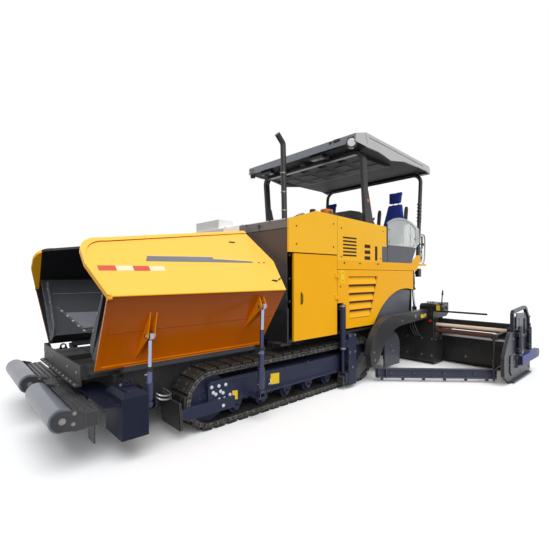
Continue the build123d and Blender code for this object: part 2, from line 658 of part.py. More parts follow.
def make_upper_panel():
    panel = side_plate([(WALL_X, DOOR_Z[1] + 15), (WALL_X, HOOD_FRONT_Z), HOOD_PEAK, HOOD_REAR, (HOOD_REAR[0], STEP_Z),
                        (STEP_X, STEP_Z), (STEP_X, RAIL_Z[1]), (SEAM_X, RAIL_Z[1]), (SEAM_X, DOOR_Z[1] + 15)],
                       (INNER, BODY_HALF))
    slots = window_row((-519, -180), 1915, 26, 52, 6) + window_row((-890, -728), 1875, 56, 92, 3)
    for slot in slots + window_row((-1095, -1020), 1870, 230, 0, 1):
        panel -= slot
    return panel


def louvre_edge(z, front):
    """x of the louvred field's front or rear edge at a height; the field narrows downwards."""
    share = (z - 985) / 630
    return (-345 + 35 * share) if front else (-885 - 215 * share)


def make_lower_panel():
    """Lower side panel with an arch at the rear and a field of louvre blades, and its door hinge pins."""
    top, low = RAIL_Z[0] - 6, LOWER_Z
    lines = (
        Polyline((SEAM_X - 140, low), (SEAM_X - 140, 1230), (SEAM_X, 1230), (SEAM_X, top), (REAR_X, top),
                 (REAR_X, ARCH_TOP))
        + ThreePointArc((REAR_X, ARCH_TOP), (-1410, 1240), (-990, low))
        + Line((-990, low), (SEAM_X - 140, low))
    )
    panel = side_plate(lines, (INNER, BODY_HALF))
    field = [(louvre_edge(z, front), z) for z, front in ((985, True), (1615, True), (1615, False), (985, False))]
    panel -= side_plate(field, (INNER - PANEL, BODY_HALF + 1))
    pitch = 630 / BLADE_COUNT
    for i in range(BLADE_COUNT):
        z = 985 + i * pitch
        blade = [(INNER + 3, z + pitch * 0.96), (INNER + 3, z + pitch * 0.86), (BODY_HALF - 6, z + 6), (BODY_HALF, z + 6),
                 (BODY_HALF, z + 14)]
        panel += cross_plate(blade, (louvre_edge(z, False) - 1, louvre_edge(z, True) + 1))
    return panel + fused(make_door_pins())


def make_door_pins():
    """Fixed halves of the door hinges, their pin and lugs on the lower panel."""
    x, y = DOOR_HINGE
    pieces = []
    for z in DOOR_HINGE_Z:
        for low in (z - 12 - SEAT_GAP, z + 60 + SEAT_GAP):
            pieces.append(slab((x - 30, x + 4), (BODY_HALF - 1, y + 8), (low, low + 12)))
        pieces.append(bar((x, y, z - 12), (x, y, z + 72), DOOR_PIN_R))
    return pieces


def make_door():
    door = slab(DOOR_X, (INNER, BODY_HALF), DOOR_Z) - slab((690, 715), (BODY_HALF - 12, BODY_HALF + 1), (1250, 1415))
    x, y = DOOR_HINGE
    for z in DOOR_HINGE_Z:
        door += slab((x + 5, x + 60), (BODY_HALF - 1, y + 5), (z, z + 60)) + bar((x, y, z), (x, y, z + 60), 9)
        door -= bar((x, y, z - 1), (x, y, z + 61), DOOR_PIN_R + SEAT_GAP)
    return door


def make_grey_plates():
    """Arch filler under the rail, and the plate under the side screen."""
    top, low = (REAR_X + 60, ARCH_TOP - 10), (-1060, LOWER_Z + 5)
    arch = Polyline(low, (-2170, LOWER_Z + 85), top) + ThreePointArc(top, (-1470, 1240), low)
    under = [(STEP_X, RAIL_Z[1]), (REAR_X + 65, RAIL_Z[1]), (REAR_X - 115, STEP_Z + 30), (HOOD_REAR[0], STEP_Z + 30),
             (HOOD_REAR[0], STEP_Z), (STEP_X, STEP_Z)]
    return side_plate(arch, (INNER - 20, INNER)), side_plate(under, (BODY_HALF - PLATE, BODY_HALF))


def make_screen():
    rear, front, low = REAR_X - 115, HOOD_REAR[0] - 30, STEP_Z + 30
    lines = (
        Polyline((rear, low), (front, low), (front, low + 380))
        + ThreePointArc((front, low + 380), (-1990, low + 500), (rear - 115, low + 360))
        + Polyline((rear - 115, low + 360), (rear - 135, low + 120), (rear, low))
    )
    return side_plate(lines, (BODY_HALF - 8, BODY_HALF))


def hood_rear_top():
    """Front and rear ends of the fixed cover's top line, as (x, z)."""
    return [(HOOD_LID_X[0] - 6, HOOD_PEAK[1] - 22), (HOOD_REAR[0] + PANEL, HOOD_REAR[1] - 20)]


def make_hood_rear():
    """Fixed cover over the engine bay, behind the lid, with the hinge ears and the exhaust's flange."""
    (x0, z0), (x1, z1) = hood_rear_top()
    top = [(x0, z0), (x1, z1), (x1, z1 - PLATE), (x0, z0 - PLATE)]
    pieces = [side_plate(top, (-INNER, INNER)),
              slab((x1 - PLATE, x1), (-INNER, INNER), (RAIL_Z[1], HOOD_REAR[1] - 20))]
    ex, ey = EXHAUST
    pieces.append(slab((ex - 75, ex + 75), (ey - 75, ey + 75), (HOOD_PEAK[1] - 65, HOOD_PEAK[1] - 15)))
    hx, hz = HOOD_HINGE
    for side in (-1, 1):
        for y in (882, 964):
            pieces.append(slab((hx - 14, hx + 12), (side * y, side * (y + 14)), (hz - 30, hz + 14)))
        pieces.append(bar((hx, side * 882, hz), (hx, side * 978, hz), 8))
    return fused(pieces)


def make_hood_lid():
    """Front hood: slopes down over the cooler nose, its skirt hiding the wall's edge."""
    wide, start, end = INNER - 6, HOOD_LID_X[0], NOSE_X[1] + 5
    low, high = NOSE_TOP - 400, HOOD_PEAK[1] + 100

    def plan(inset):
        side = [(start + inset, wide - inset)] + [(x, y) for x, y in nose_outline(inset) if y > 0]
        return side + [(x, -y) for x, y in reversed(side)]

    def under(drop, floor):
        """Side outline below the hood's top line, moved down."""
        return [(start, HOOD_PEAK[1] - 25 - drop), (WALL_X, nose_top(WALL_X) - drop), (end, nose_top(end) - drop),
                (end, floor), (start, floor)]

    shell = floor_plate(plan(0), (low, high)) & side_plate(under(0, low + 50), (-wide, wide))
    core = floor_plate(plan(16), (low - 50, high)) & side_plate(under(16, low), (-wide, wide))
    lid = shell - core - side_plate(under(LID_SKIRT, low - 50), (-BODY_HALF, BODY_HALF))
    lid += slab((NOSE_X[1] - 250, NOSE_X[1] - 20), (-110, 460), (NOSE_TOP - 10, NOSE_TOP + 130))
    hx, hz = HOOD_HINGE
    for side in (-1, 1):
        y = (side * (896 + SEAT_GAP), side * (964 - SEAT_GAP))
        strap = [(hx, hz - 14), (start + 4, hz - 14), (start + 4, hz - 40), (start + 60, hz - 44), (start + 60, hz - 20),
                 (start + 12, hz + 4), (hx, hz + 4)]
        lid += side_plate(strap, y) + bar((hx, y[0], hz), (hx, y[1], hz), 16)
        lid -= bar((hx, y[0] - side, hz), (hx, y[1] + side, hz), 8 + SEAT_GAP)
    return lid


def make_exhaust():
    x, y = EXHAUST
    foot, mouth = HOOD_PEAK[1] - 15, ROOF_TOP + 5
    pipe = bent_tube([(x, y, foot - 5), (x + 32, y, mouth - 125), (x + 160, y, mouth)], 70, EXHAUST_R)
    return pipe - slab((x - 90, x + 90), (y - 90, y + 90), (foot - 50, foot + SEAT_GAP))


# Operator's platform and canopy

def make_platform():
    """Floor with the yellow edge rails, and the ears that carry the screed's lift cylinders."""
    rail = [(SEAM_X, RAIL_Z[0]), (SEAM_X, RAIL_Z[1]), (REAR_X + 60, RAIL_Z[1]), (REAR_X - 190, RAIL_Z[1] + 160),
            (REAR_X - 270, RAIL_Z[1] + 150), (REAR_X - 270, RAIL_Z[1] + 50), (REAR_X - 130, RAIL_Z[0])]
    pieces = [slab(FLOOR_X, (-BODY_HALF + PLATE, BODY_HALF - PLATE), FLOOR_Z),
              slab((STEP_X - 370, STEP_X - 10), (-INNER, INNER), (FLOOR_Z[0] - 15, FLOOR_Z[0] + 1))]
    x, z = LIFT["top"]
    for side in (-1, 1):
        pieces.append(side_plate(rail, (side * (BODY_HALF - PLATE), side * BODY_HALF)))
        y = side * LIFT["y"]
        for inner in (-EYE_HALF - 6, EYE_HALF + 6):
            outer = inner + (EAR if inner > 0 else -EAR)
            pieces.append(slab((x - 30, x + 30), (y + inner, y + outer), (z - 22, FLOOR_Z[0] + 1)))
        pieces.append(bar((x, y - EYE_HALF - 16, z), (x, y + EYE_HALF + 16, z), PIN_R))
    return fused(pieces)


def make_seats():
    """Pedestals, and a cushion with back and headrest on each."""
    frames, covers = [], []
    floor = FLOOR_Z[1]
    for side in (-1, 1):
        middle = side * SEAT_Y

        def wide(half):
            return (middle - half, middle + half)

        frames.append(side_plate([(-2330, floor), (-1960, floor), (-2010, floor + 400), (-2290, floor + 400)], wide(170)))
        covers.append(fused([
            side_plate([(-2400, floor + 400), (-1900, floor + 400), (-1870, floor + 440), (-1880, floor + 500),
                        (-1930, floor + 525), (-2400, floor + 510)], wide(245)),
            side_plate([(-2400, floor + 500), (-2500, floor + 1180), (-2440, floor + 1215), (-2390, floor + 1180),
                        (-2260, floor + 505)], wide(235)),
            side_plate([(-2500, floor + 1210), (-2535, floor + 1390), (-2500, floor + 1425), (-2430, floor + 1415),
                        (-2390, floor + 1200), (-2450, floor + 1190)], wide(150)),
        ]))
    return frames, covers


def make_console():
    """Console across the platform, its desk leaning back towards the seats."""
    floor = FLOOR_Z[1]
    desk = slab((-1580, -1400), (-900, 900), (floor, floor + 451))
    panel = [(-1620, floor + 450), (-1380, floor + 450), (-1380, floor + 600), (-1300, floor + 710),
             (-1300, floor + 850), (-1380, floor + 890), (-1640, floor + 630)]
    return desk + side_plate(panel, (-900, 900))


def arch_face(half, height, bend, width):
    """Upturned U with rounded corners: a frame of a given width, its open foot at zero height."""
    outer = Pos(0, height / 2) * Rectangle(2 * half, height)
    outer = fillet(outer.vertices().group_by(Axis.Y)[-1], bend)
    inner = Pos(0, height / 2 - width) * Rectangle(2 * (half - width), height)
    inner = fillet(inner.vertices().group_by(Axis.Y)[-1], bend - width)
    return outer - inner


def make_posts():
    """Canopy hoops: a flat one with gussets behind the hood, and a tubular one at the rear."""
    foot, top = (-900, HOOD_REAR[1] - 10), (-800, HEAD_Z - 5)
    rise = hypot(top[0] - foot[0], top[1] - foot[1])
    plane = Plane(origin=(foot[0], 0, foot[1]), x_dir=(0, 1, 0), z_dir=(top[1] - foot[1], 0, foot[0] - top[0]))
    deep = 110
    hoop = extrude(plane.offset(-deep / 2) * arch_face(HOOP_HALF, rise, HOOP_BEND, 58), amount=deep, dir=plane.z_dir)
    pieces = [hoop]
    for side in (-1, 1):
        y = (side * (HOOP_HALF - 50), side * (HOOP_HALF - 8))
        pieces.append(side_plate([(foot[0] - 190, foot[1]), (foot[0] + 60, foot[1]), (foot[0] + 30, foot[1] + 500),
                                  (foot[0] - 30, foot[1] + 560)], y))
    # the feet are cut to the slope of the cover that they stand on
    cover = [(x, z + lift) for (x, z), lift in zip(hood_rear_top() * 2, (SEAT_GAP, SEAT_GAP, -200, -200))]
    cover[2], cover[3] = cover[3], cover[2]
    front = fused(pieces) - side_plate(cover, (-BODY_HALF, BODY_HALF))
    x0, x1 = FLOOR_X[0] + 220, FLOOR_X[0] + 80
    y, low, high = HOOP_HALF - HOOP_R, FLOOR_Z[1], HEAD_Z - HOOP_R - SEAT_GAP
    rear = bent_tube([(x0, -y, low - 5), (x1, -y, high), (x1, y, high), (x0, y, low - 5)], HOOP_BEND, HOOP_R)
    rear -= slab((x1 - 50, x0 + 50), (-BODY_HALF, BODY_HALF), (low - 50, low + SEAT_GAP))
    return [front, rear]


def roof_outline(inset, low):
    """Side of the roof as (x, z): sloping band in front, top falling to the rear, wavy lower edge."""
    x0, x1 = ROOF_X[0] + inset, ROOF_X[1] - inset
    top = ROOF_TOP - inset
    return [(x1, low), (x1 - 10, top - 75), (x1 - 290, top), (x0 + 60, top - ROOF_FALL), (x0 + 12, top - ROOF_FALL - 40),
            (x0, low - 50)]


def make_roof():
    """Moulded roof shell, open below, with its side edges bevelled."""
    x0, x1 = ROOF_X
    low = HEAD_Z
    edge = [(x1 - 300, low - 10), (x1 - 620, low - 12), (x1 - 1010, low - 75), (x1 - 1480, low), (x0 + 200, low)]
    outline = roof_outline(0, low + 10) + list(reversed(edge))
    shell = side_plate(outline, (-ROOF_HALF, ROOF_HALF))
    hollow = side_plate(roof_outline(ROOF_SKIN, low - 200), (-ROOF_HALF + ROOF_SKIN, ROOF_HALF - ROOF_SKIN))
    return shell - hollow


def make_headliner():
    """Dark moulded tray under the roof, deeper along its middle."""
    x0, x1 = ROOF_X[0] + ROOF_SKIN, ROOF_X[1] - ROOF_SKIN
    half = ROOF_HALF - ROOF_SKIN
    tray = slab((x0 + 20, x1 - 20), (-half, half), (HEAD_Z, HEAD_Z + 22))
    keel = [(x1 - 430, HEAD_Z + 1), (x1 - 530, HEAD_Z - 45), (x1 - 1300, HEAD_Z - 45), (x1 - 1500, HEAD_Z + 1)]
    keel = side_plate(keel, (-half + 260, half - 260))
    return tray + keel


# Tow points, augers and screed

def make_tow_guide():
    """Vertical guide for the tow arm's nose, with the levelling cylinder in front of it."""
    x, y = TOW_X, LEVEL_Y
    low, high = GUIDE_Z
    pieces = [
        slab(GUIDE_X, GUIDE_Y, (400, high)),
        slab((GUIDE_X[0] + EAR, GUIDE_X[1] - EAR), (INNER - 70, GUIDE_Y[0] + 1), (high - 70, LOWER_Z - 70)),
        bar((x, y, 560), (x, y, 1210), 44),
        bar((x, y, 230), (x, y, 565), 22),
        slab((x - 22, x + 22), (GUIDE_Y[0] - 4, GUIDE_Y[1] + 4), (TOW_Z + 92, TOW_Z + 110)),
        bar((x, GUIDE_Y[0], TOW_Z), (x, GUIDE_Y[1], TOW_Z), TOW_PIN_R),
        slab((x - 60, x + 40), (INNER - 1, y), (1130, 1190)),
        slab((GUIDE_X[1] - 1, x), (GUIDE_Y[0] + EAR, GUIDE_Y[1] - EAR), (600, 700)),
    ]
    for inner, outer in ((GUIDE_Y[0], GUIDE_Y[0] + EAR), (GUIDE_Y[1], GUIDE_Y[1] - EAR)):
        pieces.append(slab(GUIDE_X, (inner, outer), (low, 401)))
        wide = inner - 4 if inner < outer else inner + 4
        pieces.append(slab((x - 22, x + 22), (wide, outer), (TOW_Z - 34, TOW_Z + 110)))
    return fused(pieces)


def make_arm():
    """Gooseneck plate outside the track, with its nose set in to run in the tow guide."""
    back = SCREED_X[1]
    lines = (
        Polyline((-640, 240), (-600, 430), (-610, 470))
        + ThreePointArc((-610, 470), (-870, 860), (-1330, 975))
        + Polyline((-1330, 975), (back, 1010), (back, 850), (-1530, 800))
        + ThreePointArc((-1530, 800), (-1120, 650), (-850, 330))
        + Polyline((-850, 330), (-800, 290), (-640, 240))
    )
    nose = [(TOW_X + 60, TOW_Z - 55), (TOW_X + 60, TOW_Z + 55), (-500, 300), (-640, 440), (-800, 440), (-780, 290),
            (-640, 235), (-420, 120)]
    arm = side_plate(lines, ARM_Y) + side_plate(nose, NOSE_Y)
    return arm - bar((TOW_X, NOSE_Y[0] - 1, TOW_Z), (TOW_X, NOSE_Y[1] + 1, TOW_Z), TOW_PIN_R + SEAT_GAP)


def make_flight(y0, y1):
    """Winding blade as a closed shell of flats between radial lines."""
    root, tip, thick = AUGER_SHAFT_R - 12, AUGER_R, 14
    steps = AUGER_TURNS * AUGER_STEPS
    stations = []
    for i in range(steps + 1):
        turn = i * 2 * pi / AUGER_STEPS
        y = y0 + (y1 - y0) * i / steps
        stations.append([Vector(AUGER_X + r * cos(turn), y + side * thick / 2, AUGER_Z + r * sin(turn))
                         for r, side in ((root, -1), (tip, -1), (tip, 1), (root, 1))])
    faces = [Face(Wire.make_polygon(stations[0])), Face(Wire.make_polygon(stations[-1]))]
    for a, b in zip(stations, stations[1:]):
        for k in range(4):
            n = (k + 1) % 4
            faces.append(Face(Wire.make_polygon([a[k], b[k], b[n]])))
            faces.append(Face(Wire.make_polygon([a[k], b[n], a[n]])))
    return Solid(Shell(faces))


def make_auger():
    y0, y1 = AUGER_BOX + SEAT_GAP, GUARD_Y[0] - SEAT_GAP
    shaft = bar((AUGER_X, y0, AUGER_Z), (AUGER_X, y1, AUGER_Z), AUGER_SHAFT_R)
    return shaft + make_flight(y0 + 30, y1 - 30)


def make_auger_mount():
    """Drive box, the beam that it hangs from, and the round guard plate at each end."""
    x, z = AUGER_X, AUGER_Z
    beam_z = (640, 790)
    pieces = [
        slab((x - 130, x + 130), (-AUGER_BOX, AUGER_BOX), (z - 130, beam_z[0] + 1)),
        slab((x - 60, x + 60), (-GUARD_Y[1], GUARD_Y[1]), beam_z),
    ]
    guard = (
        Polyline((x - 230, z + 115), (x - 230, z - 235), (x + 260, z - 235), (x + 260, z + 115))
        + ThreePointArc((x + 260, z + 115), (x + 15, z + 335), (x - 230, z + 115))
    )
    hanger = (DECK_HALF - 40, DECK_HALF + 140)
    for side in (-1, 1):
        y = (side * hanger[0], side * hanger[1])
        pieces.append(slab((x + 60, TUNNEL_X[0]), y, (LOWER_Z - 70, LOWER_Z + 60)))
        pieces.append(slab((x + 40, x + 80), y, (beam_z[0] + 60, LOWER_Z + 60)))
        pieces.append(side_plate(guard, (side * GUARD_Y[0], side * GUARD_Y[1])))
    return fused(pieces)


def make_screed():
    """Main screed: heated pan under a box, towers at both ends, guides for the extension tubes, walkway."""
    x0, x1 = SCREED_X
    low, pan = SCREED_LOW
    width = (-SCREED_HALF, SCREED_HALF)
    pieces = [
        side_plate([(x0, low), (x1 - 50, low), (x1, low + 60), (x1, pan), (x0, pan)], width),
        slab((x1 - 40, x1), width, (pan - 1, SCREED_TOP)),
        slab((x0, x0 + 30), width, (pan - 1, SCREED_TOP)),
        slab(SCREED_X, width, (SCREED_TOP - 1, SCREED_TOP + 30)),
        slab((x0 - 640, x0 - 60), (50 - SCREED_HALF, SCREED_HALF - 50), (560, 590)),
        slab((x0 - 61, x0 + 1), (50 - SCREED_HALF, SCREED_HALF - 50), (545, 590)),
    ]
    tower = [(x1, SCREED_TOP), (x1, TOWER_TOP - 40), (x1 - 50, TOWER_TOP), (x0 - 250, TOWER_TOP),
             (x0 - 250, SCREED_TOP + 60), (x0 - 150, SCREED_TOP)]
    px, pz = LIFT["pin"]
    for side in (-1, 1):
        pieces.append(side_plate(tower, (side * (SCREED_HALF - 260), side * SCREED_HALF)))
        y = side * LIFT["y"]
        for inner in (-EYE_HALF - 6, EYE_HALF + 6):
            outer = inner + (EAR if inner > 0 else -EAR)
            pieces.append(slab((px - 25, px + 25), (y + inner, y + outer), (SCREED_TOP, pz + 30)))
        pieces.append(bar((px, y - EYE_HALF - 16, pz), (px, y + EYE_HALF + 16, pz), PIN_R))
        for y0, y1 in ((SCREED_HALF - 410, SCREED_HALF - 350), (SCREED_HALF - 80, SCREED_HALF)):
            pieces.append(slab((TUBE_X - 70, TUBE_X + 70), (side * y0, side * y1), (pan - 1, SCREED_TOP)))
    screed = fused(pieces)
    for side in (-1, 1):
        for z in TUBE_Z:
            start, end = SCREED_HALF - 411, SCREED_HALF + 1
            screed -= bar((TUBE_X, side * start, z), (TUBE_X, side * end, z), TUBE_R + SEAT_GAP)
    return screed


def make_extension():
    """Extension screed with its guide tubes, end plate, and the post that the spreader plate turns on."""
    inner, outer = EXT_TRAVEL + 60, EXT_Y[1]
    x0, x1 = EXT_X
    px, py = SPREAD_OUT
    pieces = [
        side_plate([(x0, 15), (x1 - 50, 15), (x1, 70), (x1, EXT_TOP), (x0, EXT_TOP)], EXT_Y),
        side_plate([(x0, 15), (x1, 15), (TUBE_X + 90, 300), (TUBE_X + 90, 900), (TUBE_X + 40, 960), (x0 + 160, 960),
                    (x0, 700)], (outer, GATE_Y[0])),
        slab((TUBE_X - 170, TUBE_X - 90), (inner, outer + 5), (750, 835)),
        bar((px, py, 30), (px, py, 720), SPREAD_PIN_R),
        slab((TUBE_X + 50, px + 30), (py - 30, py + 30), (660, 720)),
        slab((TUBE_X + 50, TUBE_X + 90), (py - 30, outer + 5), (640, 700)),
    ]
    for z in TUBE_Z:
        pieces.append(bar((TUBE_X, inner, z), (TUBE_X, outer + 5, z), TUBE_R))
    return fused(pieces)


def make_gate():
    """End gate: a plate on a sledge foot, a raised tubular frame, and the spindle housing outside."""
    x = -1890
    plate = [(x, 150), (x - 290, 0), (x - 1270, 0), (x - 1360, 60), (x - 1360, 560), (x - 810, 560), (x - 750, 760),
             (x - 290, 760), (x - 100, 560), (x, 430)]
    frame = [(x - 440, 760), (x - 440, 1040), (x - 490, 1090), (x - 1110, 1130), (x - 1190, 1100), (x - 1320, 960),
             (x - 1340, 900), (x - 1340, 560), (x - 810, 560), (x - 750, 760)]
    hole = [(x - 480, 800), (x - 480, 1040), (x - 1120, 1085), (x - 1290, 930), (x - 1290, 620), (x - 850, 620),
            (x - 790, 800)]
    gate = side_plate(plate, GATE_Y) + side_plate(frame, GATE_Y)
    gate -= side_plate(hole, (GATE_Y[0] - 1, GATE_Y[1] + 1))
    housing = (GATE_Y[1] - 1, GATE_Y[1] + 70)
    gate += side_plate([(x - 1660, 270), (x - 1620, 230), (x - 640, 230), (x - 640, 370), (x - 1620, 370),
                        (x - 1660, 330)], housing)
    return gate


def make_spreader():
    """Diagonal channel from the tow arm out to the screed's end, holding the mix in front of it."""
    dx, dy = SPREAD_IN[0] - SPREAD_OUT[0], SPREAD_IN[1] - SPREAD_OUT[1]
    length = hypot(dx, dy)
    low, foot, top = SPREAD_Z
    knuckle_r = SPREAD_PIN_R + 22
    channel = slab((0, length), (-25, 0), (foot, top))
    for z in (foot, top - 12):
        channel += slab((0, length), (-25, 30), (z, z + 12))
    for i in range(6):
        x = 80 + i * (length - 200) / 5
        channel += slab((x, x + 40), (-25, 0), (low, foot + 1))
    channel -= bar((0, 0, foot - 1), (0, 0, top + 1), knuckle_r - 1)
    knuckle = bar((0, 0, foot), (0, 0, top), knuckle_r) - bar((0, 0, foot - 1), (0, 0, top + 1), SPREAD_PIN_R + 1)
    for x in (length - 160, length - 40):
        channel += slab((x, x + 12), (-25, 60), (foot, top))
    return Pos(*SPREAD_OUT, 0) * Rot(0, 0, degrees(atan2(dy, dx))) * (channel + knuckle)


save("track_left", make_track())
save("track_right", flipped(make_track()))
save("track_frames", both(make_track_frame()))
save("chassis", make_chassis())
save("conveyor_deck", make_deck())
save("front_apron", make_apron())
save("corner_boxes", both(make_corner_box() + make_cylinder_foot()))
save("roller_beam", make_beam())
# pieces that each side has as nodes of their own
sides = {
    "push_roller_{}": make_push_roller(),
    "hopper_wing_{}": make_wing(),
    "hopper_liner_{}": make_liner(),
    "wing_barrel_front_{}": make_barrel(CYL_FRONT),
    "wing_rod_front_{}": make_rod(CYL_FRONT),
    "wing_barrel_rear_{}": make_barrel(CYL_REAR),
    "wing_rod_rear_{}": make_rod(CYL_REAR),
    "door_{}": make_door(),
    "screed_extension_{}": make_extension(),
    "end_gate_{}": make_gate(),
    "spreader_plate_{}": make_spreader(),
    "lift_barrel_{}": make_barrel(LIFT),
    "lift_rod_{}": make_rod(LIFT),
    "auger_{}": make_auger(),
}
for name, piece in sides.items():
    save(name.format("left"), piece)
    save(name.format("right"), flipped(piece))
save("hopper_back_wall", make_back_wall())
save("body_frame", make_body_frame())
save("engine_block", make_engine())
save("hood_rear", make_hood_rear())
save("hood_lid", make_hood_lid())
save("upper_side_panels", both(make_upper_panel()))
save("lower_side_panels", both(make_lower_panel()))
arch, under_screen = make_grey_plates()
save("grey_side_plates", both(arch) + both(under_screen))
save("side_screens", both(make_screen()))
save("operator_platform", make_platform())
seat_frames, seat_covers = make_seats()
save("seat_frames", seat_frames)
save("seat_covers", seat_covers)
save("console", make_console())
save("canopy_posts", make_posts())
save("canopy_roof", make_roof())
save("canopy_headliner", make_headliner())
save("exhaust_pipe", make_exhaust())
save("tow_guides", both(make_tow_guide()))
save("tow_arms", both(make_arm()))
save("auger_mount", make_auger_mount())
save("screed_main", make_screed())
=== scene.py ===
"""Looks of a tracked asphalt paver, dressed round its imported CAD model.

Metres, in the model's own frame: +X forward, +Y to the machine's left, +Z up, origin on the ground.
"""

from math import cos, pi, radians, sin, tau

import bmesh
import bpy
from mathutils import Matrix, Vector


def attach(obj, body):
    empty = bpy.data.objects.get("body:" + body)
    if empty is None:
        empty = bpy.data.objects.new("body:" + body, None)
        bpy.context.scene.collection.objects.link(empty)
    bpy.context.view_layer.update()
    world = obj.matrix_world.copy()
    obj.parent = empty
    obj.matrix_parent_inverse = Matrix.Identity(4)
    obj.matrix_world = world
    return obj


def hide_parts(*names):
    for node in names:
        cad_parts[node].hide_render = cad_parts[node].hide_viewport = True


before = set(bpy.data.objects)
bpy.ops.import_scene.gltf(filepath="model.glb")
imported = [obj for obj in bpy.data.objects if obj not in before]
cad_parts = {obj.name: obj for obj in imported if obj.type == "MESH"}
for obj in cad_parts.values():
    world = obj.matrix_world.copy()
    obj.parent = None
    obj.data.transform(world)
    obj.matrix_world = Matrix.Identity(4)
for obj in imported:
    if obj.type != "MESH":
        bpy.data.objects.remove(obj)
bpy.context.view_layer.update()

# Studio: an endless pale floor under a white surround. Two broad suns and a soft sky light it evenly,
# and only what the camera, mirrors and glass see is white, so little light comes back off the floor.
scene = bpy.context.scene
scene.view_settings.view_transform = "Standard"

camera = bpy.data.objects.new("camera", bpy.data.cameras.new("camera"))
scene.collection.objects.link(camera)
camera.location = (4.197, 4.557, 1.637)
camera.rotation_euler = (radians(90), 0, radians(137.5))
camera.data.sensor_width = 36
camera.data.lens = 24.2
scene.camera = camera


def seen_white(tree):
    """1 for rays from the camera, through glass and off gloss; 0 for those that light the object."""
    path = tree.nodes.new("ShaderNodeLightPath")
    level = path.outputs["Is Camera Ray"]
    for ray in ("Is Transmission Ray", "Is Glossy Ray"):
        more = tree.nodes.new("ShaderNodeMath")
        more.operation = "MAXIMUM"
        tree.links.new(level, more.inputs[0])
        tree.links.new(path.outputs[ray], more.inputs[1])
        level = more.outputs[0]
    return level


studio = bpy.data.worlds.new("studio")
scene.world = studio
studio.use_nodes = True
tree = studio.node_tree
tree.nodes.clear()
sky = tree.nodes.new("ShaderNodeBackground")
sky.inputs["Color"].default_value = (0.92, 0.96, 1.0, 1)
sky.inputs["Strength"].default_value = 0.5
white = tree.nodes.new("ShaderNodeBackground")
white.inputs["Color"].default_value = (1, 1, 1, 1)
white.inputs["Strength"].default_value = 1.0
pick = tree.nodes.new("ShaderNodeMixShader")
out = tree.nodes.new("ShaderNodeOutputWorld")
tree.links.new(seen_white(tree), pick.inputs["Fac"])
tree.links.new(sky.outputs[0], pick.inputs[1])
tree.links.new(white.outputs[0], pick.inputs[2])
tree.links.new(pick.outputs[0], out.inputs["Surface"])

SUNS = (("overhead_sun", (0.6, 1.3, 3.0), 1.8, 50), ("side_sun", (0.9, 2.4, 1.0), 1.55, 60))
for name, place, power, breadth in SUNS:
    sun = bpy.data.lights.new(name, "SUN")
    sun.energy, sun.angle = power, radians(breadth)
    lamp = bpy.data.objects.new(name, sun)
    lamp.rotation_euler = Vector(place).to_track_quat("Z", "Y").to_euler()
    scene.collection.objects.link(lamp)

REACH = 400
pale_floor = bpy.data.meshes.new("studio_floor")
pale_floor.from_pydata([(-REACH, -REACH, 0), (REACH, -REACH, 0), (REACH, REACH, 0), (-REACH, REACH, 0)], [],
                       [(0, 1, 2, 3)])
floor = bpy.data.objects.new("studio_floor", pale_floor)
scene.collection.objects.link(floor)
floor.location.z = -0.002
pale = bpy.data.materials.new("studio_floor")
pale.use_nodes = True
tree = pale.node_tree
tree.nodes.clear()
tone = tree.nodes.new("ShaderNodeMix")
tone.data_type = "RGBA"
tone.inputs["A"].default_value = (0.16, 0.14, 0.12, 1)
tone.inputs["B"].default_value = (0.97, 0.97, 0.97, 1)
matt = tree.nodes.new("ShaderNodeBsdfDiffuse")
out = tree.nodes.new("ShaderNodeOutputMaterial")
tree.links.new(seen_white(tree), tone.inputs["Factor"])
tree.links.new(tone.outputs["Result"], matt.inputs["Color"])
tree.links.new(matt.outputs[0], out.inputs["Surface"])
pale_floor.materials.append(pale)

# Each side's name and the sign of its y, which is m in every loop over the sides.
SIDES = (("left", 1), ("right", -1))


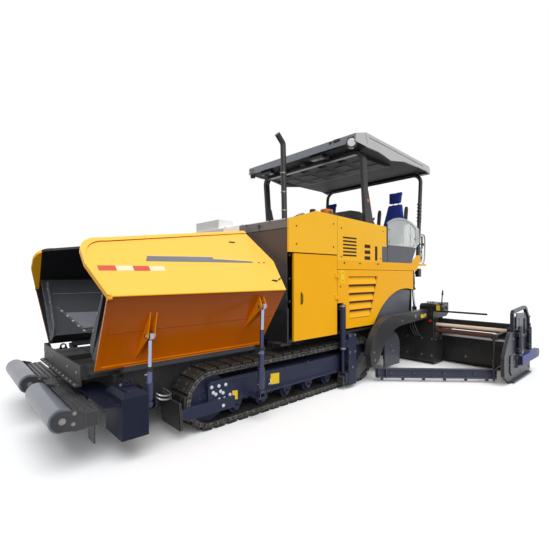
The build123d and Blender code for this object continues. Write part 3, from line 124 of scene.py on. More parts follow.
# Chassis, conveyor floor, front wall and body frame: welded plate in black chassis enamel, scuffed on its
# edges and dusty where it lies flat; the engine inside is a plain dark casting. Every painted piece on the
# machine shares this paintwork.
def build_paintwork():
    """Sprayed enamel as a node group: a cloudy film, chips along the edges, and road dust on flat faces."""
    group = bpy.data.node_groups.new("paintwork", "ShaderNodeTree")
    colours = (("Paint", (0.8, 0.8, 0.8, 1)), ("Shade", (0.5, 0.5, 0.5, 1)), ("Bare", (0.3, 0.3, 0.3, 1)),
               ("Dust", (0.3, 0.26, 0.2, 1)))
    amounts = (("Wear", 0.5), ("Soil", 0.3), ("Gloss Roughness", 0.35), ("Peel", 0.2))
    for kind, inputs in (("NodeSocketColor", colours), ("NodeSocketFloat", amounts)):
        for label, start in inputs:
            group.interface.new_socket(label, in_out="INPUT", socket_type=kind).default_value = start
    group.interface.new_socket("Colour", in_out="OUTPUT", socket_type="NodeSocketColor")
    for label in ("Roughness", "Height", "Film"):
        group.interface.new_socket(label, in_out="OUTPUT", socket_type="NodeSocketFloat")
    nodes, links = group.nodes, group.links
    given, made = nodes.new("NodeGroupInput"), nodes.new("NodeGroupOutput")

    def sum_of(kind, first, second, third=None):
        node = nodes.new("ShaderNodeMath")
        node.operation = kind
        for socket, value in zip(node.inputs, (first, second, third)):
            if value is None:
                continue
            if isinstance(value, (int, float)):
                socket.default_value = value
            else:
                links.new(value, socket)
        return node.outputs[0]

    def cloud(scale, detail, rough=0.55):
        node = nodes.new("ShaderNodeTexNoise")
        node.inputs["Scale"].default_value = scale
        node.inputs["Detail"].default_value = detail
        node.inputs["Roughness"].default_value = rough
        links.new(place.outputs["Object"], node.inputs["Vector"])
        return node.outputs["Fac"]

    def blend(share, first, second):
        node = nodes.new("ShaderNodeMix")
        node.data_type = "RGBA"
        for socket, value in (("Factor", share), ("A", first), ("B", second)):
            links.new(value, node.inputs[socket])
        return node.outputs["Result"]

    place = nodes.new("ShaderNodeTexCoord")
    face = nodes.new("ShaderNodeNewGeometry")
    eased = nodes.new("ShaderNodeBevel")
    eased.samples = 4
    eased.inputs["Radius"].default_value = 0.009
    turn = nodes.new("ShaderNodeVectorMath")
    turn.operation = "DOT_PRODUCT"
    links.new(eased.outputs[0], turn.inputs[0])
    links.new(face.outputs["Normal"], turn.inputs[1])
    edge = sum_of("MULTIPLY", sum_of("SUBTRACT", 1.0, turn.outputs["Value"]), 9.0)
    scuffs = sum_of("MULTIPLY_ADD", cloud(26, 6, 0.7), 3.2, -1.3)
    chips = sum_of("MULTIPLY", sum_of("MULTIPLY", edge, scuffs), given.outputs["Wear"])
    chips = sum_of("MINIMUM", sum_of("MAXIMUM", chips, 0.0), 1.0)

    facing, spot = nodes.new("ShaderNodeSeparateXYZ"), nodes.new("ShaderNodeSeparateXYZ")
    links.new(face.outputs["Normal"], facing.inputs[0])
    links.new(place.outputs["Object"], spot.inputs[0])
    flat = sum_of("MAXIMUM", sum_of("MULTIPLY_ADD", facing.outputs["Z"], 1.6, -0.6), 0.0)
    low = sum_of("MAXIMUM", sum_of("MULTIPLY_ADD", spot.outputs["Z"], -0.8, 0.85), 0.12)
    grime = sum_of("MULTIPLY_ADD", cloud(3.1, 7, 0.62), 2.6, -0.85)
    specks = sum_of("MULTIPLY_ADD", cloud(90, 3), 1.4, -0.2)
    soil = sum_of("MULTIPLY", sum_of("ADD", flat, low), sum_of("MULTIPLY", grime, specks))
    soil = sum_of("MULTIPLY", sum_of("MAXIMUM", soil, 0.0), given.outputs["Soil"])
    soil = sum_of("MINIMUM", soil, 0.85)

    film = cloud(1.7, 4)
    body = blend(film, given.outputs["Shade"], given.outputs["Paint"])
    body = blend(soil, body, given.outputs["Dust"])
    links.new(blend(chips, body, given.outputs["Bare"]), made.inputs["Colour"])
    rough = sum_of("MULTIPLY_ADD", soil, 0.5, given.outputs["Gloss Roughness"])
    rough = sum_of("MULTIPLY_ADD", cloud(11, 5), 0.08, rough)
    links.new(sum_of("MINIMUM", sum_of("MULTIPLY_ADD", chips, 0.25, rough), 0.95), made.inputs["Roughness"])
    peel = sum_of("MULTIPLY", cloud(170, 2), given.outputs["Peel"])
    links.new(sum_of("SUBTRACT", peel, sum_of("MULTIPLY", chips, 0.7)), made.inputs["Height"])
    links.new(sum_of("SUBTRACT", 1.0, sum_of("MAXIMUM", soil, chips)), made.inputs["Film"])
    return group


paintwork = build_paintwork()


def enamel(name, paint, shade, rough, wear=0.5, soil=0.3, peel=0.2, bare=(0.16, 0.15, 0.14), coat=0.0,
           metal=0.0, dust=(0.27, 0.245, 0.21), relief=0.0006, shine=0.28):
    """A painted finish: Principled shader fed by the shared paintwork."""
    made = bpy.data.materials.new(name)
    made.use_nodes = True
    nodes, links = made.node_tree.nodes, made.node_tree.links
    skin = nodes["Principled BSDF"]
    film = nodes.new("ShaderNodeGroup")
    film.node_tree = paintwork
    for label, value in (("Paint", paint), ("Shade", shade), ("Bare", bare), ("Dust", dust)):
        film.inputs[label].default_value = (*value, 1)
    for label, value in (("Wear", wear), ("Soil", soil), ("Gloss Roughness", rough), ("Peel", peel)):
        film.inputs[label].default_value = value
    links.new(film.outputs["Colour"], skin.inputs["Base Color"])
    links.new(film.outputs["Roughness"], skin.inputs["Roughness"])
    skin.inputs["Metallic"].default_value = metal
    skin.inputs["Coat Roughness"].default_value = 0.12
    skin.inputs["Specular IOR Level"].default_value = shine
    if coat:
        sheen = nodes.new("ShaderNodeMath")
        sheen.operation = "MULTIPLY"
        sheen.inputs[1].default_value = coat
        links.new(film.outputs["Film"], sheen.inputs[0])
        links.new(sheen.outputs[0], skin.inputs["Coat Weight"])
    bump = nodes.new("ShaderNodeBump")
    bump.inputs["Distance"].default_value = relief
    links.new(film.outputs["Height"], bump.inputs["Height"])
    links.new(bump.outputs["Normal"], skin.inputs["Normal"])
    return made


def dress(material, *names):
    """Gives CAD nodes their finish."""
    for name in names:
        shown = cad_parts[name].data
        shown.materials.clear()
        shown.materials.append(material)


def piece(name, bm, material, body):
    """Turns a worked mesh into a piece that rides on a body."""
    bmesh.ops.recalc_face_normals(bm, faces=bm.faces)
    for f in bm.faces:
        f.smooth = False
    mesh = bpy.data.meshes.new(name)
    bm.to_mesh(mesh)
    bm.free()
    mesh.materials.append(material)
    made = bpy.data.objects.new(name, mesh)
    scene.collection.objects.link(made)
    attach(made, body)


def turned(bm, start, end, radius, sides=20, tip=None, ease=0.0):
    """Round bar, or a cone with its own tip radius."""
    start, end = Vector(start), Vector(end)
    run = end - start
    where = Matrix.Translation((start + end) / 2) @ run.to_track_quat("Z", "Y").to_matrix().to_4x4()
    made = bmesh.ops.create_cone(bm, cap_ends=True, segments=sides, radius1=radius,
                                 radius2=radius if tip is None else tip, depth=run.length, matrix=where)
    if ease:
        rims = {e for v in made["verts"] for e in v.link_edges
                if any(len(f.verts) > 4 for f in e.link_faces)}
        bmesh.ops.bevel(bm, geom=list(rims), offset=ease, segments=2, affect="EDGES", profile=0.5)


def bolt_heads(bm, places, out, size=0.013, high=0.009):
    """Hexagon heads on washers, standing out of a face along a direction."""
    out = Vector(out).normalized()
    for at in places:
        at = Vector(at)
        turned(bm, at - out * 0.002, at + out * 0.003, size * 1.35, 14)
        turned(bm, at, at + out * high, size, 6, size * 0.86)


def strip(start, end, count):
    """Evenly spaced places from a start to an end."""
    start, end = Vector(start), Vector(end)
    return [start.lerp(end, i / (count - 1)) for i in range(count)]


black_enamel = enamel("black_chassis_enamel", (0.020, 0.020, 0.023), (0.010, 0.010, 0.012), 0.42, wear=0.35,
                      soil=0.35, bare=(0.10, 0.095, 0.09))
zinc = enamel("zinc_plated_steel", (0.30, 0.29, 0.28), (0.17, 0.165, 0.16), 0.36, wear=0.2, soil=0.2,
              metal=0.9)
dress(black_enamel, "chassis", "conveyor_deck", "front_apron", "body_frame", "auger_mount")
dress(enamel("engine_casting", (0.05, 0.052, 0.055), (0.025, 0.025, 0.026), 0.6, wear=0.2, soil=0.5,
             peel=1.0), "engine_block")

bm = bmesh.new()
bolt_heads(bm, strip((3.232, -0.70, 0.602), (3.232, 0.70, 0.602), 11), (0, 0, 1), 0.014)
bolt_heads(bm, [(3.206, y, 0.70) for y in (-0.66, -0.33, 0.33, 0.66)], (1, 0, 0), 0.012)
for side, m in SIDES:
    bolt_heads(bm, strip((2.932, m * 0.30, 0.42), (2.932, m * 0.80, 0.42), 5), (1, 0, 0), 0.013)
piece("front_wall_bolts", bm, zinc, "tractor")

# Cooler screen: a welded grid of thin bars let into the nose of the wall behind the hopper, in the same
# black enamel as the chassis.


def prism(bm, outline, place, start, end, ease=0.0):
    """Plate with an outline; place(a, b, depth) puts its points. ease rounds off its edges."""
    rings = [[bm.verts.new(place(a, b, depth)) for a, b in outline] for depth in (start, end)]
    faces = [bm.faces.new(rings[0]), bm.faces.new(rings[1][::-1])]
    count = len(outline)
    for i in range(count):
        j = (i + 1) % count
        faces.append(bm.faces.new((rings[0][i], rings[1][i], rings[1][j], rings[0][j])))
    if ease:
        edges = list({e for f in faces for e in f.edges})
        bmesh.ops.bevel(bm, geom=edges, offset=ease, segments=2, affect="EDGES", profile=0.5)


def oblong(x0, z0, x1, z1):
    """Outline of a rectangular plate."""
    return [(x0, z0), (x1, z0), (x1, z1), (x0, z1)]


def block(bm, corner, opposite, ease=0.004):
    """Box with eased edges between two opposite corners."""
    low, high = ([pick(pair) for pair in zip(corner, opposite)] for pick in (min, max))
    prism(bm, oblong(low[0], low[1], high[0], high[1]), lambda x, y, z: (x, y, z), low[2], high[2], ease)


bm = bmesh.new()
for y in [-0.52 + 0.052 * i for i in range(21)]:
    block(bm, (1.452, y - 0.003, 1.42), (1.458, y + 0.003, 2.02), 0)
for z in [1.43 + 0.045 * i for i in range(14)]:
    block(bm, (1.456, -0.53, z - 0.003), (1.462, 0.53, z + 0.003), 0)
piece("cooler_screen", bm, black_enamel, "tractor")

# Crawler tracks: rubber pads bolted to steel links, the pads grey with dust and worn at their corners.
# Link plates with pin heads show on both sides of each track.
TRACK_R, TRACK_X, SHOES = 0.325, (-0.65, 2.05), 46
PITCH = 2 * (TRACK_X[1] - TRACK_X[0] + pi * TRACK_R) / SHOES


def on_side(m):
    """place(x, z, y) for plates that stand along one side of the machine, y counted outward."""
    return lambda x, z, y: (x, m * y, z)


def on_track(distance, radius):
    """(x, z), and the outward direction, at a distance round the track and a radius at its ends."""
    span, bend = TRACK_X[1] - TRACK_X[0], pi * TRACK_R
    distance %= 2 * (span + bend)
    if distance < span:
        return (TRACK_X[0] + distance, TRACK_R - radius), (0, -1)
    if distance < span + bend:
        turn = (distance - span) / TRACK_R - pi / 2
        return (TRACK_X[1] + radius * cos(turn), TRACK_R + radius * sin(turn)), (cos(turn), sin(turn))
    if distance < 2 * span + bend:
        return (TRACK_X[1] - (distance - span - bend), TRACK_R + radius), (0, 1)
    turn = (distance - 2 * span - bend) / TRACK_R + pi / 2
    return (TRACK_X[0] + radius * cos(turn), TRACK_R + radius * sin(turn)), (cos(turn), sin(turn))


pad_rubber = enamel("track_pad_rubber", (0.015, 0.015, 0.013), (0.008, 0.008, 0.008), 0.60, wear=1.0,
                    soil=0.55, peel=1.6, bare=(0.13, 0.125, 0.11), dust=(0.085, 0.080, 0.066), relief=0.0015)
link_steel = enamel("track_link_steel", (0.04, 0.039, 0.037), (0.018, 0.018, 0.018), 0.42, wear=1.0, soil=0.4,
                    metal=0.6, bare=(0.35, 0.34, 0.33))
dress(pad_rubber, "track_left", "track_right")
for side, m in SIDES:
    bolts, links = bmesh.new(), bmesh.new()
    for i in range(SHOES):
        at = (i + 1) * PITCH
        (x, z), (ox, oz) = on_track(at, TRACK_R)
        for y in (0.985, 1.155):
            bolt_heads(bolts, [(x - oz * s + ox * -0.004, m * y, z + ox * s - oz * 0.004)
                               for s in (-0.030, 0.030)], (ox, 0, oz), 0.011, 0.003)
        for share in (-0.27, 0.27):
            (ax, az), _ = on_track(at + share * PITCH, TRACK_R - 0.052)
            (bx, bz), _ = on_track(at + (share + 0.46) * PITCH, TRACK_R - 0.052)
            rim = (m * 1.2195, m * (1.226 if share > 0 else 1.223))
            turned(links, (ax, rim[0], az), (ax, rim[1], az), 0.022, 10)
            turned(links, (ax, rim[0], az), (ax, rim[1] + m * 0.004, az), 0.010, 8)
            run = Vector((bx - ax, 0, bz - az))
            across = Vector((-run.z, 0, run.x)).normalized() * 0.016
            corners = [Vector((ax, 0, az)) + across, Vector((ax, 0, az)) - across,
                       Vector((bx, 0, bz)) - across, Vector((bx, 0, bz)) + across]
            prism(links, [(c.x, c.z) for c in corners], on_side(1), *rim)
    piece(f"track_pad_bolts_{side}", bolts, zinc, "tractor")
    piece(f"track_links_{side}", links, link_steel, "tractor")

# Track frames: navy enamelled box beams with a guard flange, roller caps, a bolted drive hub at the
# rear and an idler cap in front. Bolt heads, a hook and two blank labels sit on the outer plate.


def hard_pipe(name, points, radius, body, material, mirrored):
    """Bent steel pipe held by the machine, on a smooth line through its bends."""
    line = bpy.data.curves.new(name, "CURVE")
    line.dimensions = "3D"
    line.bevel_depth, line.bevel_resolution, line.resolution_u = radius, 3, 8
    line.use_fill_caps = True
    run = line.splines.new("NURBS")
    run.points.add(len(points) - 1)
    for point, (x, y, z) in zip(run.points, points):
        point.co = (x, mirrored * y, z, 1)
    run.order_u = 3
    run.use_endpoint_u = True
    line.materials.append(material)
    pipe = bpy.data.objects.new(name, line)
    scene.collection.objects.link(pipe)
    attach(pipe, body)


def side_bolts(bm, m, y, places, size=0.013, high=0.009):
    """Bolt heads at (x, z) places on a face that looks outward."""
    bolt_heads(bm, [(x, m * y, z) for x, z in places], (0, m, 0), size, high)


navy_enamel = enamel("navy_enamel", (0.021, 0.027, 0.062), (0.012, 0.016, 0.038), 0.36, wear=0.5, soil=0.08,
                     shine=0.2, bare=(0.13, 0.14, 0.19))
label_yellow = enamel("label_yellow", (0.87, 0.62, 0.02), (0.75, 0.5, 0.015), 0.4, wear=0.1, soil=0.2)
dress(navy_enamel, "track_frames")
bright_bolt = enamel("bright_bolt", (0.74, 0.76, 0.80), (0.60, 0.62, 0.66), 0.3, wear=0, soil=0.1)
# outer plate's inner face, height of the roller caps, and the bolts round the front idler as (x, z)
FRAME_SIDE, CAP_Z = 1.2245, 0.15
NOSE_LOW, NOSE_HIGH, NOSE_SIDE = 0.108, 0.387, 1.268
FRAME_BOLTS = ((2.051, 0.449), (1.961, 0.446), (1.872, 0.444), (2.032, 0.388), (2.000, 0.365), (1.940, 0.384),
               (1.907, 0.361), (1.955, 0.301), (1.890, 0.299), (1.816, 0.323), (1.816, 0.270))
CAPS_X = [TRACK_X[0] + 0.35 + 0.4 * i for i in range(6)]
for side, m in SIDES:
    bm = bmesh.new()
    side_bolts(bm, m, 1.225, FRAME_BOLTS, 0.014, 0.011)
    side_bolts(bm, m, 1.265, [(1.93, 0.240)], 0.014, 0.011)
    piece(f"frame_front_bolts_{side}", bm, bright_bolt, "tractor")
    bm = bmesh.new()
    for x, count in ((TRACK_X[0], 10), (TRACK_X[1], 6)):
        ring = [(x + 0.105 * cos(tau * i / count), m * 1.150, TRACK_R + 0.105 * sin(tau * i / count))
                for i in range(count)]
        bolt_heads(bm, ring, (0, m, 0), 0.012)
    for x in CAPS_X:
        side_bolts(bm, m, 1.191, [(x, CAP_Z)], 0.016)
    piece(f"frame_bolts_{side}", bm, navy_enamel, "tractor")
    bm = bmesh.new()
    for x, r in ((TRACK_X[0], 0.17), (TRACK_X[1], 0.13)):
        turned(bm, (x, m * 1.148, TRACK_R), (x, m * 1.172, TRACK_R), r * 0.5, 32, r * 0.42, 0.003)
    for x in CAPS_X:
        turned(bm, (x, m * 1.149, CAP_Z), (x, m * 1.190, CAP_Z), 0.05, 24, 0.035)
    for x in (0.55, 0.95, 1.35, 1.75):
        block(bm, (x, m * FRAME_SIDE, 0.455), (x + 0.02, m * 1.236, 0.50), 0.003)
    for corners in ((1.05, 0.285, 1.26, 0.452), (1.52, 0.275, 1.60, 0.425)):
        prism(bm, oblong(*corners), on_side(1), m * FRAME_SIDE, m * 1.232, 0.003)
    piece(f"frame_caps_{side}", bm, navy_enamel, "tractor")
    bm = bmesh.new()
    prism(bm, [(1.712, 0.250), (1.785, 0.258), (1.785, 0.358), (1.712, 0.350)], on_side(m), 1.2255, 1.2275)
    prism(bm, [(1.082, 0.306), (1.223, 0.316), (1.223, 0.445), (1.082, 0.435)], on_side(m), 1.2325, 1.2345)
    piece(f"frame_labels_{side}", bm, label_yellow, "tractor")
    bm = bmesh.new()
    # scraper ahead of the track's nose, with its outer flange, and a dark strip high on the frame's plate
    prism(bm, [(2.436, NOSE_LOW), (2.442, NOSE_LOW), (2.462, NOSE_HIGH), (2.456, NOSE_HIGH)], on_side(m),
          0.88, NOSE_SIDE)
    prism(bm, [(2.412, NOSE_LOW), (2.442, NOSE_LOW), (2.462, NOSE_HIGH), (2.434, NOSE_HIGH), (2.413, 0.29)],
          on_side(m), 1.2652, NOSE_SIDE)
    prism(bm, [(1.30, 0.468), (1.98, 0.493), (1.98, 0.500), (1.30, 0.475)], on_side(m), 1.2252, 1.229)
    piece(f"track_scraper_{side}", bm, black_enamel, "tractor")
    hard_pipe(f"frame_hook_{side}", [(1.235, 1.237, 0.385), (1.238, 1.246, 0.380), (1.238, 1.250, 0.355),
                                     (1.250, 1.250, 0.338), (1.268, 1.246, 0.330)], 0.005, "tractor",
              bright_bolt, m)

# Weight boxes ahead of the tracks: navy plate with a bevelled lid, bolted cover plates and hard hydraulic
# pipes that run from the front cylinder's foot back along the frame.
box_navy = enamel("box_navy", (0.010, 0.014, 0.034), (0.006, 0.008, 0.022), 0.34, wear=0.4, soil=0.06,
                  shine=0.13, bare=(0.10, 0.11, 0.16))
dress(box_navy, "corner_boxes")
BOX_REAR = 2.676
pipe_steel = enamel("hard_pipe_steel", (0.42, 0.43, 0.45), (0.28, 0.29, 0.31), 0.32, wear=0.2, soil=0.3,
                    metal=0.8)
for side, m in SIDES:
    bm = bmesh.new()
    bolt_heads(bm, [(BOX_REAR, m * y, z) for y, z in ((0.95, 0.36), (0.95, 0.46), (1.05, 0.42))], (-1, 0, 0),
               0.013)
    turned(bm, (2.92, m * 1.06, 0.609), (2.92, m * 1.06, 0.628), 0.03, 20, 0.022, 0.004)
    piece(f"weight_box_bolts_{side}", bm, zinc, "tractor")
    bm = bmesh.new()
    block(bm, (2.86, m * 1.20, 0.608), (2.96, m * 1.30, 0.616), 0.003)
    piece(f"weight_box_covers_{side}", bm, navy_enamel, "tractor")
    for k, z in enumerate((0.53, 0.495)):
        hard_pipe(f"foot_pipe_{k}_{side}", [(2.682, 1.262, z), (2.672, 1.30, z - 0.01),
                                            (2.61, 1.30, z - 0.03), (2.50, 1.22, z - 0.06),
                                            (2.46, 1.05, z - 0.07), (2.46, 0.94, z - 0.07)], 0.009, "tractor",
                  pipe_steel, m)

# Push rollers: heavy tubes in satin grey on stub axles, their skin scuffed round by truck tyres; the
# swinging beam between navy cheek plates, with slotted end bolts and a ribbed black deck.
roller_paint = enamel("roller_grey", (0.185, 0.196, 0.230), (0.135, 0.144, 0.172), 0.34, wear=0.6, soil=0.2,
                      coat=0.3, bare=(0.22, 0.22, 0.24))
beam_paint = enamel("beam_grey_black", (0.032, 0.034, 0.042), (0.018, 0.019, 0.024), 0.38, wear=0.6, soil=0.3,
                    coat=0.1, bare=(0.20, 0.20, 0.22))
ROLLER_X, ROLLER_Z, DECK_Z = 3.45, 0.455, 0.481
dress(roller_paint, "push_roller_left", "push_roller_right")
dress(beam_paint, "roller_beam")
bm = bmesh.new()
for m in (1, -1):
    for y in (0.1795, 1.2065):
        out = 1 if y > 1 else -1
        bolt_heads(bm, [(ROLLER_X, m * y, ROLLER_Z)], (0, m * out, 0), 0.020, 0.010)
        bolt_heads(bm, [(3.37, m * y, 0.415), (3.36, m * y, 0.50)], (0, m * out, 0), 0.012)
    bolt_heads(bm, strip((3.183, m * 0.98, 0.36), (3.183, m * 1.11, 0.36), 3), (1, 0, 0), 0.011)
    bolt_heads(bm, [(3.10, m * 0.40, DECK_Z), (3.10, m * 0.62, DECK_Z), (3.25, m * 0.16, DECK_Z)], (0, 0, 1),
               0.013)
turned(bm, (3.12, 0, 0.5305), (3.12, 0, 0.548), 0.062, 28, 0.055, 0.003)
piece("roller_beam_bolts", bm, zinc, "roller_beam")
for side, m in SIDES:
    bm = bmesh.new()
    for y in (0.205, 1.185):
        out = m * (-1 if y < 1 else 1)
        turned(bm, (ROLLER_X, m * y - out * 0.001, ROLLER_Z), (ROLLER_X, m * y + out * 0.006, ROLLER_Z),
               0.075, 36, 0.070)
    piece(f"roller_end_rings_{side}", bm, roller_paint, f"push_roller_{side}")

# Hopper wings: folded sheet in glossy machine yellow with rims along the free edges. The inside is
# black. Painted light makes faces turned to the sky a paler yellow; painted shade turns all below the fold
# a darker orange and the underside a deep orange to brown. The web over the hinge, below the skin's foot, is
# dark.
FOOT, FOLD, CREST = (0.93, 0.75), (1.47, 1.47), (0.67, 2.215)
LOW_SEAM, LATCH_UP, RIM_DEEP, RIM_FRONT, RIM_SLANT = 0.8955, 0.822, 0.064, 3.148, (0.0622, -0.0579)
TAPE_FRONT, TAPE_STEP, TAPE_LONG = 3.185, 0.152, 0.150
STUCK = (0.0003, 0.0016)
BAND_REAR, BAND_STEP, BAND_FRONT = 1.42, 1.95, 2.70
# pins of the tilt cylinders as x and (y, z)
TILT_PINS = {"front": (2.74, (1.262, 1.075)), "rear": (1.52, (1.43, 1.29))}


def on_skin(start, end, m):
    """place(x, up the skin, proud of it) for a skin between two lines of the wing's section."""
    up = Vector((0, end[0] - start[0], end[1] - start[1])).normalized()
    out = Vector((0, up.z, -up.y))

    def place(x, along, proud):
        at = up * along + out * proud
        return (x, m * (start[0] + at.y), start[1] + at.z)
    return place, (0, m * out.y, out.z)


def mask_of(material, value, start, end):
    """0 to 1 as a value runs from start to end."""
    ramp = material.node_tree.nodes.new("ShaderNodeMapRange")
    ramp.inputs["From Min"].default_value, ramp.inputs["From Max"].default_value = start, end
    material.node_tree.links.new(value, ramp.inputs["Value"])
    return ramp.outputs["Result"]


def joined(material, first, second, how="MULTIPLY"):
    """Two masks as one: where both are, or where either is with MAXIMUM."""
    node = material.node_tree.nodes.new("ShaderNodeMath")
    node.operation = how
    for mask, socket in zip((first, second), node.inputs):
        material.node_tree.links.new(mask, socket)
    return node.outputs[0]


def over(material, factor, colour):
    """Lays another colour over a finish where a factor says."""
    nodes, links = material.node_tree.nodes, material.node_tree.links
    base = nodes["Principled BSDF"].inputs["Base Color"]
    blend = nodes.new("ShaderNodeMix")
    blend.data_type = "RGBA"
    links.new(factor, blend.inputs["Factor"])
    links.new(base.links[0].from_socket, blend.inputs["A"])
    blend.inputs["B"].default_value = (*colour, 1)
    links.new(blend.outputs["Result"], base)


def tinged(material, value, start, end, colour):
    """Lays another colour over a finish as a value runs from start to end."""
    over(material, mask_of(material, value, start, end), colour)


def spot_of(material):
    """Sockets X, Y and Z of the place on the piece, and of the way that its face looks."""
    nodes, links = material.node_tree.nodes, material.node_tree.links
    where = nodes.new("ShaderNodeTexCoord")
    split = []
    for output in ("Object", "Normal"):
        part = nodes.new("ShaderNodeSeparateXYZ")
        links.new(where.outputs[output], part.inputs[0])
        split.append(part.outputs)
    return split


def reach_along(material, way):
    """How far a place on the piece lies along a direction."""
    nodes, links = material.node_tree.nodes, material.node_tree.links
    reach = nodes.new("ShaderNodeVectorMath")
    reach.operation = "DOT_PRODUCT"
    reach.inputs[1].default_value = way
    links.new(nodes["Texture Coordinate"].outputs["Object"], reach.inputs[0])
    return reach.outputs["Value"]


def machine_yellow(name, coat=0.06, paint=(0.95, 0.46, 0.005), shade=(0.89, 0.405, 0.004)):
    """Gloss top coat of the covers and wings."""
    return enamel(name, paint, shade, 0.30, wear=0.22, soil=0.08, peel=0.25, coat=coat,
                  bare=(0.30, 0.16, 0.05), dust=(0.55, 0.38, 0.16), shine=0.12)


yellow = machine_yellow("machine_yellow")
seam_shade_brown = enamel("seam_shade_brown", (0.30, 0.070, 0.004), (0.22, 0.050, 0.003), 0.4, wear=0.1, soil=0.2)
tape_red = enamel("tape_salmon", (0.66, 0.10, 0.055), (0.55, 0.08, 0.045), 0.4, wear=0.1, soil=0.1)
tape_cream = enamel("tape_cream", (0.86, 0.74, 0.52), (0.78, 0.66, 0.44), 0.4, wear=0.1, soil=0.1)
band_grey = enamel("band_grey", (0.20, 0.205, 0.215), (0.14, 0.145, 0.155), 0.4, wear=0.1, soil=0.1)
band_pale = enamel("band_pale", (0.56, 0.57, 0.58), (0.48, 0.49, 0.50), 0.4, wear=0.1, soil=0.1)

for side, m in SIDES:
    skin = machine_yellow(f"wing_yellow_{side}", 0.10)
    where, facing = spot_of(skin)
    # painted light: faces turned to the sky are a paler yellow
    tinged(skin, facing["Z"], 0.35, 0.70, (0.96, 0.53, 0.085))
    # painted shade: everything below the fold, clevises and front edges too, is a darker orange
    tinged(skin, where["Z"], 1.462, 1.440, (0.80, 0.270, 0.004))
    # painted shade: down-facing faces turn brown, and the lower skin a deep orange towards its foot
    below = mask_of(skin, facing["Z"], -0.25, -0.55)
    over(skin, below, (0.42, 0.088, 0.002))
    over(skin, joined(skin, below, mask_of(skin, where["Z"], 1.42, 0.80)), (0.85, 0.190, 0.001))
    inner = mask_of(skin, facing["Y"], -0.30 * m, -0.45 * m)
    over(skin, inner, (0.012, 0.012, 0.014))
    # the web below the skin's foot, over the hinge, is dark
    tinged(skin, where["Z"], 0.7505, 0.7485, (0.05, 0.052, 0.06))
    # yellow rim inside the wing, along the crest and down the slanted front edge
    up_panel, forward = (reach_along(skin, way) for way in (
        (0, m * (CREST[0] - FOLD[0]), CREST[1] - FOLD[1]), (1, m * RIM_SLANT[0], RIM_SLANT[1])))
    crest = CREST[0] * (CREST[0] - FOLD[0]) + CREST[1] * (CREST[1] - FOLD[1])
    rim = joined(skin, mask_of(skin, up_panel, crest - RIM_DEEP, crest - RIM_DEEP + 0.004),
                 mask_of(skin, forward, RIM_FRONT, RIM_FRONT + 0.003), "MAXIMUM")
    rim = joined(skin, rim, mask_of(skin, where["Z"], 1.44, 1.47))
    over(skin, joined(skin, rim, inner), (0.90, 0.42, 0.010))
    dress(skin, f"hopper_wing_{side}")

    upper, upper_out = on_skin(FOLD, CREST, m)
    lower = on_skin(FOOT, FOLD, m)[0]
    bm = bmesh.new()
    # weld bead half way up the lower skin, a rolled bead along the fold, and stiffening creases
    turned(bm, lower(1.20, LOW_SEAM, 0.002), lower(3.18, LOW_SEAM, 0.002), 0.010, 12)
    for x0 in (1.22, 1.30):
        prism(bm, oblong(x0, 0.47, x0 + 0.04, 0.482), upper, 0.0005, 0.003)
    # eye of the fold at the front end
    turned(bm, lower(3.15, 0.875, 0.004), lower(3.187, 0.875, 0.004), 0.022, 18)
    piece(f"wing_beads_{side}", bm, skin, f"wing_{side}")
    # painted shade: the weld seam half way up the lower skin is a dark brown line
    bm = bmesh.new()
    turned(bm, lower(1.16, 0.491, 0.000), lower(3.15, 0.462, 0.000), 0.004, 8)
    piece(f"wing_seam_{side}", bm, seam_shade_brown, f"wing_{side}")
    for colour, tape, paint_slot, first in (("red", tape_red, "dark_paint", 0),
                                            ("cream", tape_cream, "light_grey_paint", 1)):
        bm = bmesh.new()
        for k in (first, first + 2):
            x0 = TAPE_FRONT - TAPE_STEP * k
            x1 = x0 - TAPE_LONG
            prism(bm, [(x0, 0.30), (x1, 0.302), (x1, 0.368), (x0, 0.366)], upper, *STUCK)
        piece(f"wing_tape_{colour}_{side}", bm, tape, f"wing_{side}")
    bm = bmesh.new()
    prism(bm, [(2.735, 0.436), (BAND_REAR, 0.455), (BAND_REAR, 0.478), (BAND_STEP, 0.500), (BAND_STEP, 0.531),
               (BAND_FRONT, 0.512)], upper, *STUCK)
    piece(f"wing_band_{side}", bm, band_grey, f"wing_{side}")
    bm = bmesh.new()
    prism(bm, [(BAND_FRONT, 0.516), (BAND_STEP, 0.535), (BAND_STEP, 0.541), (BAND_FRONT, 0.522)], upper,
          *STUCK)
    prism(bm, [(1.90, 0.500), (BAND_REAR, 0.482), (BAND_REAR, 0.486), (1.90, 0.506)], upper, *STUCK)
    piece(f"wing_band_edge_{side}", bm, band_pale, f"wing_{side}")
    bm = bmesh.new()
    for x in (2.585, 1.53):
        prism(bm, [(x - 0.045, LATCH_UP), (x + 0.045, LATCH_UP - 0.002), (x + 0.040, LATCH_UP + 0.014),
                   (x - 0.040, LATCH_UP + 0.016)], upper, 0.0, 0.010, 0.002)
    prism(bm, [(1.327, 0.150), (1.290, 0.136), (1.255, 0.128), (1.225, 0.142), (1.260, 0.146),
               (1.300, 0.158)], upper, 0.0, 0.012, 0.002)
    prism(bm, [(1.200, 0.150), (1.150, 0.184), (1.165, 0.190), (1.215, 0.160)], upper, 0.0, 0.012, 0.002)
    piece(f"wing_latches_{side}", bm, black_enamel, f"wing_{side}")
    bm = bmesh.new()
    for x, (y, z) in TILT_PINS.values():
        for out in (-1, 1):
            turned(bm, (x + out * 0.036, m * y, z), (x + out * 0.052, m * y, z), 0.018, 16, 0.0162, 0.002)
    bolt_heads(bm, [upper(x, 0.46, 0.0015) for x in (1.245, 1.325)], upper_out, 0.008, 0.004)
    piece(f"wing_pin_ends_{side}", bm, zinc, f"wing_{side}")

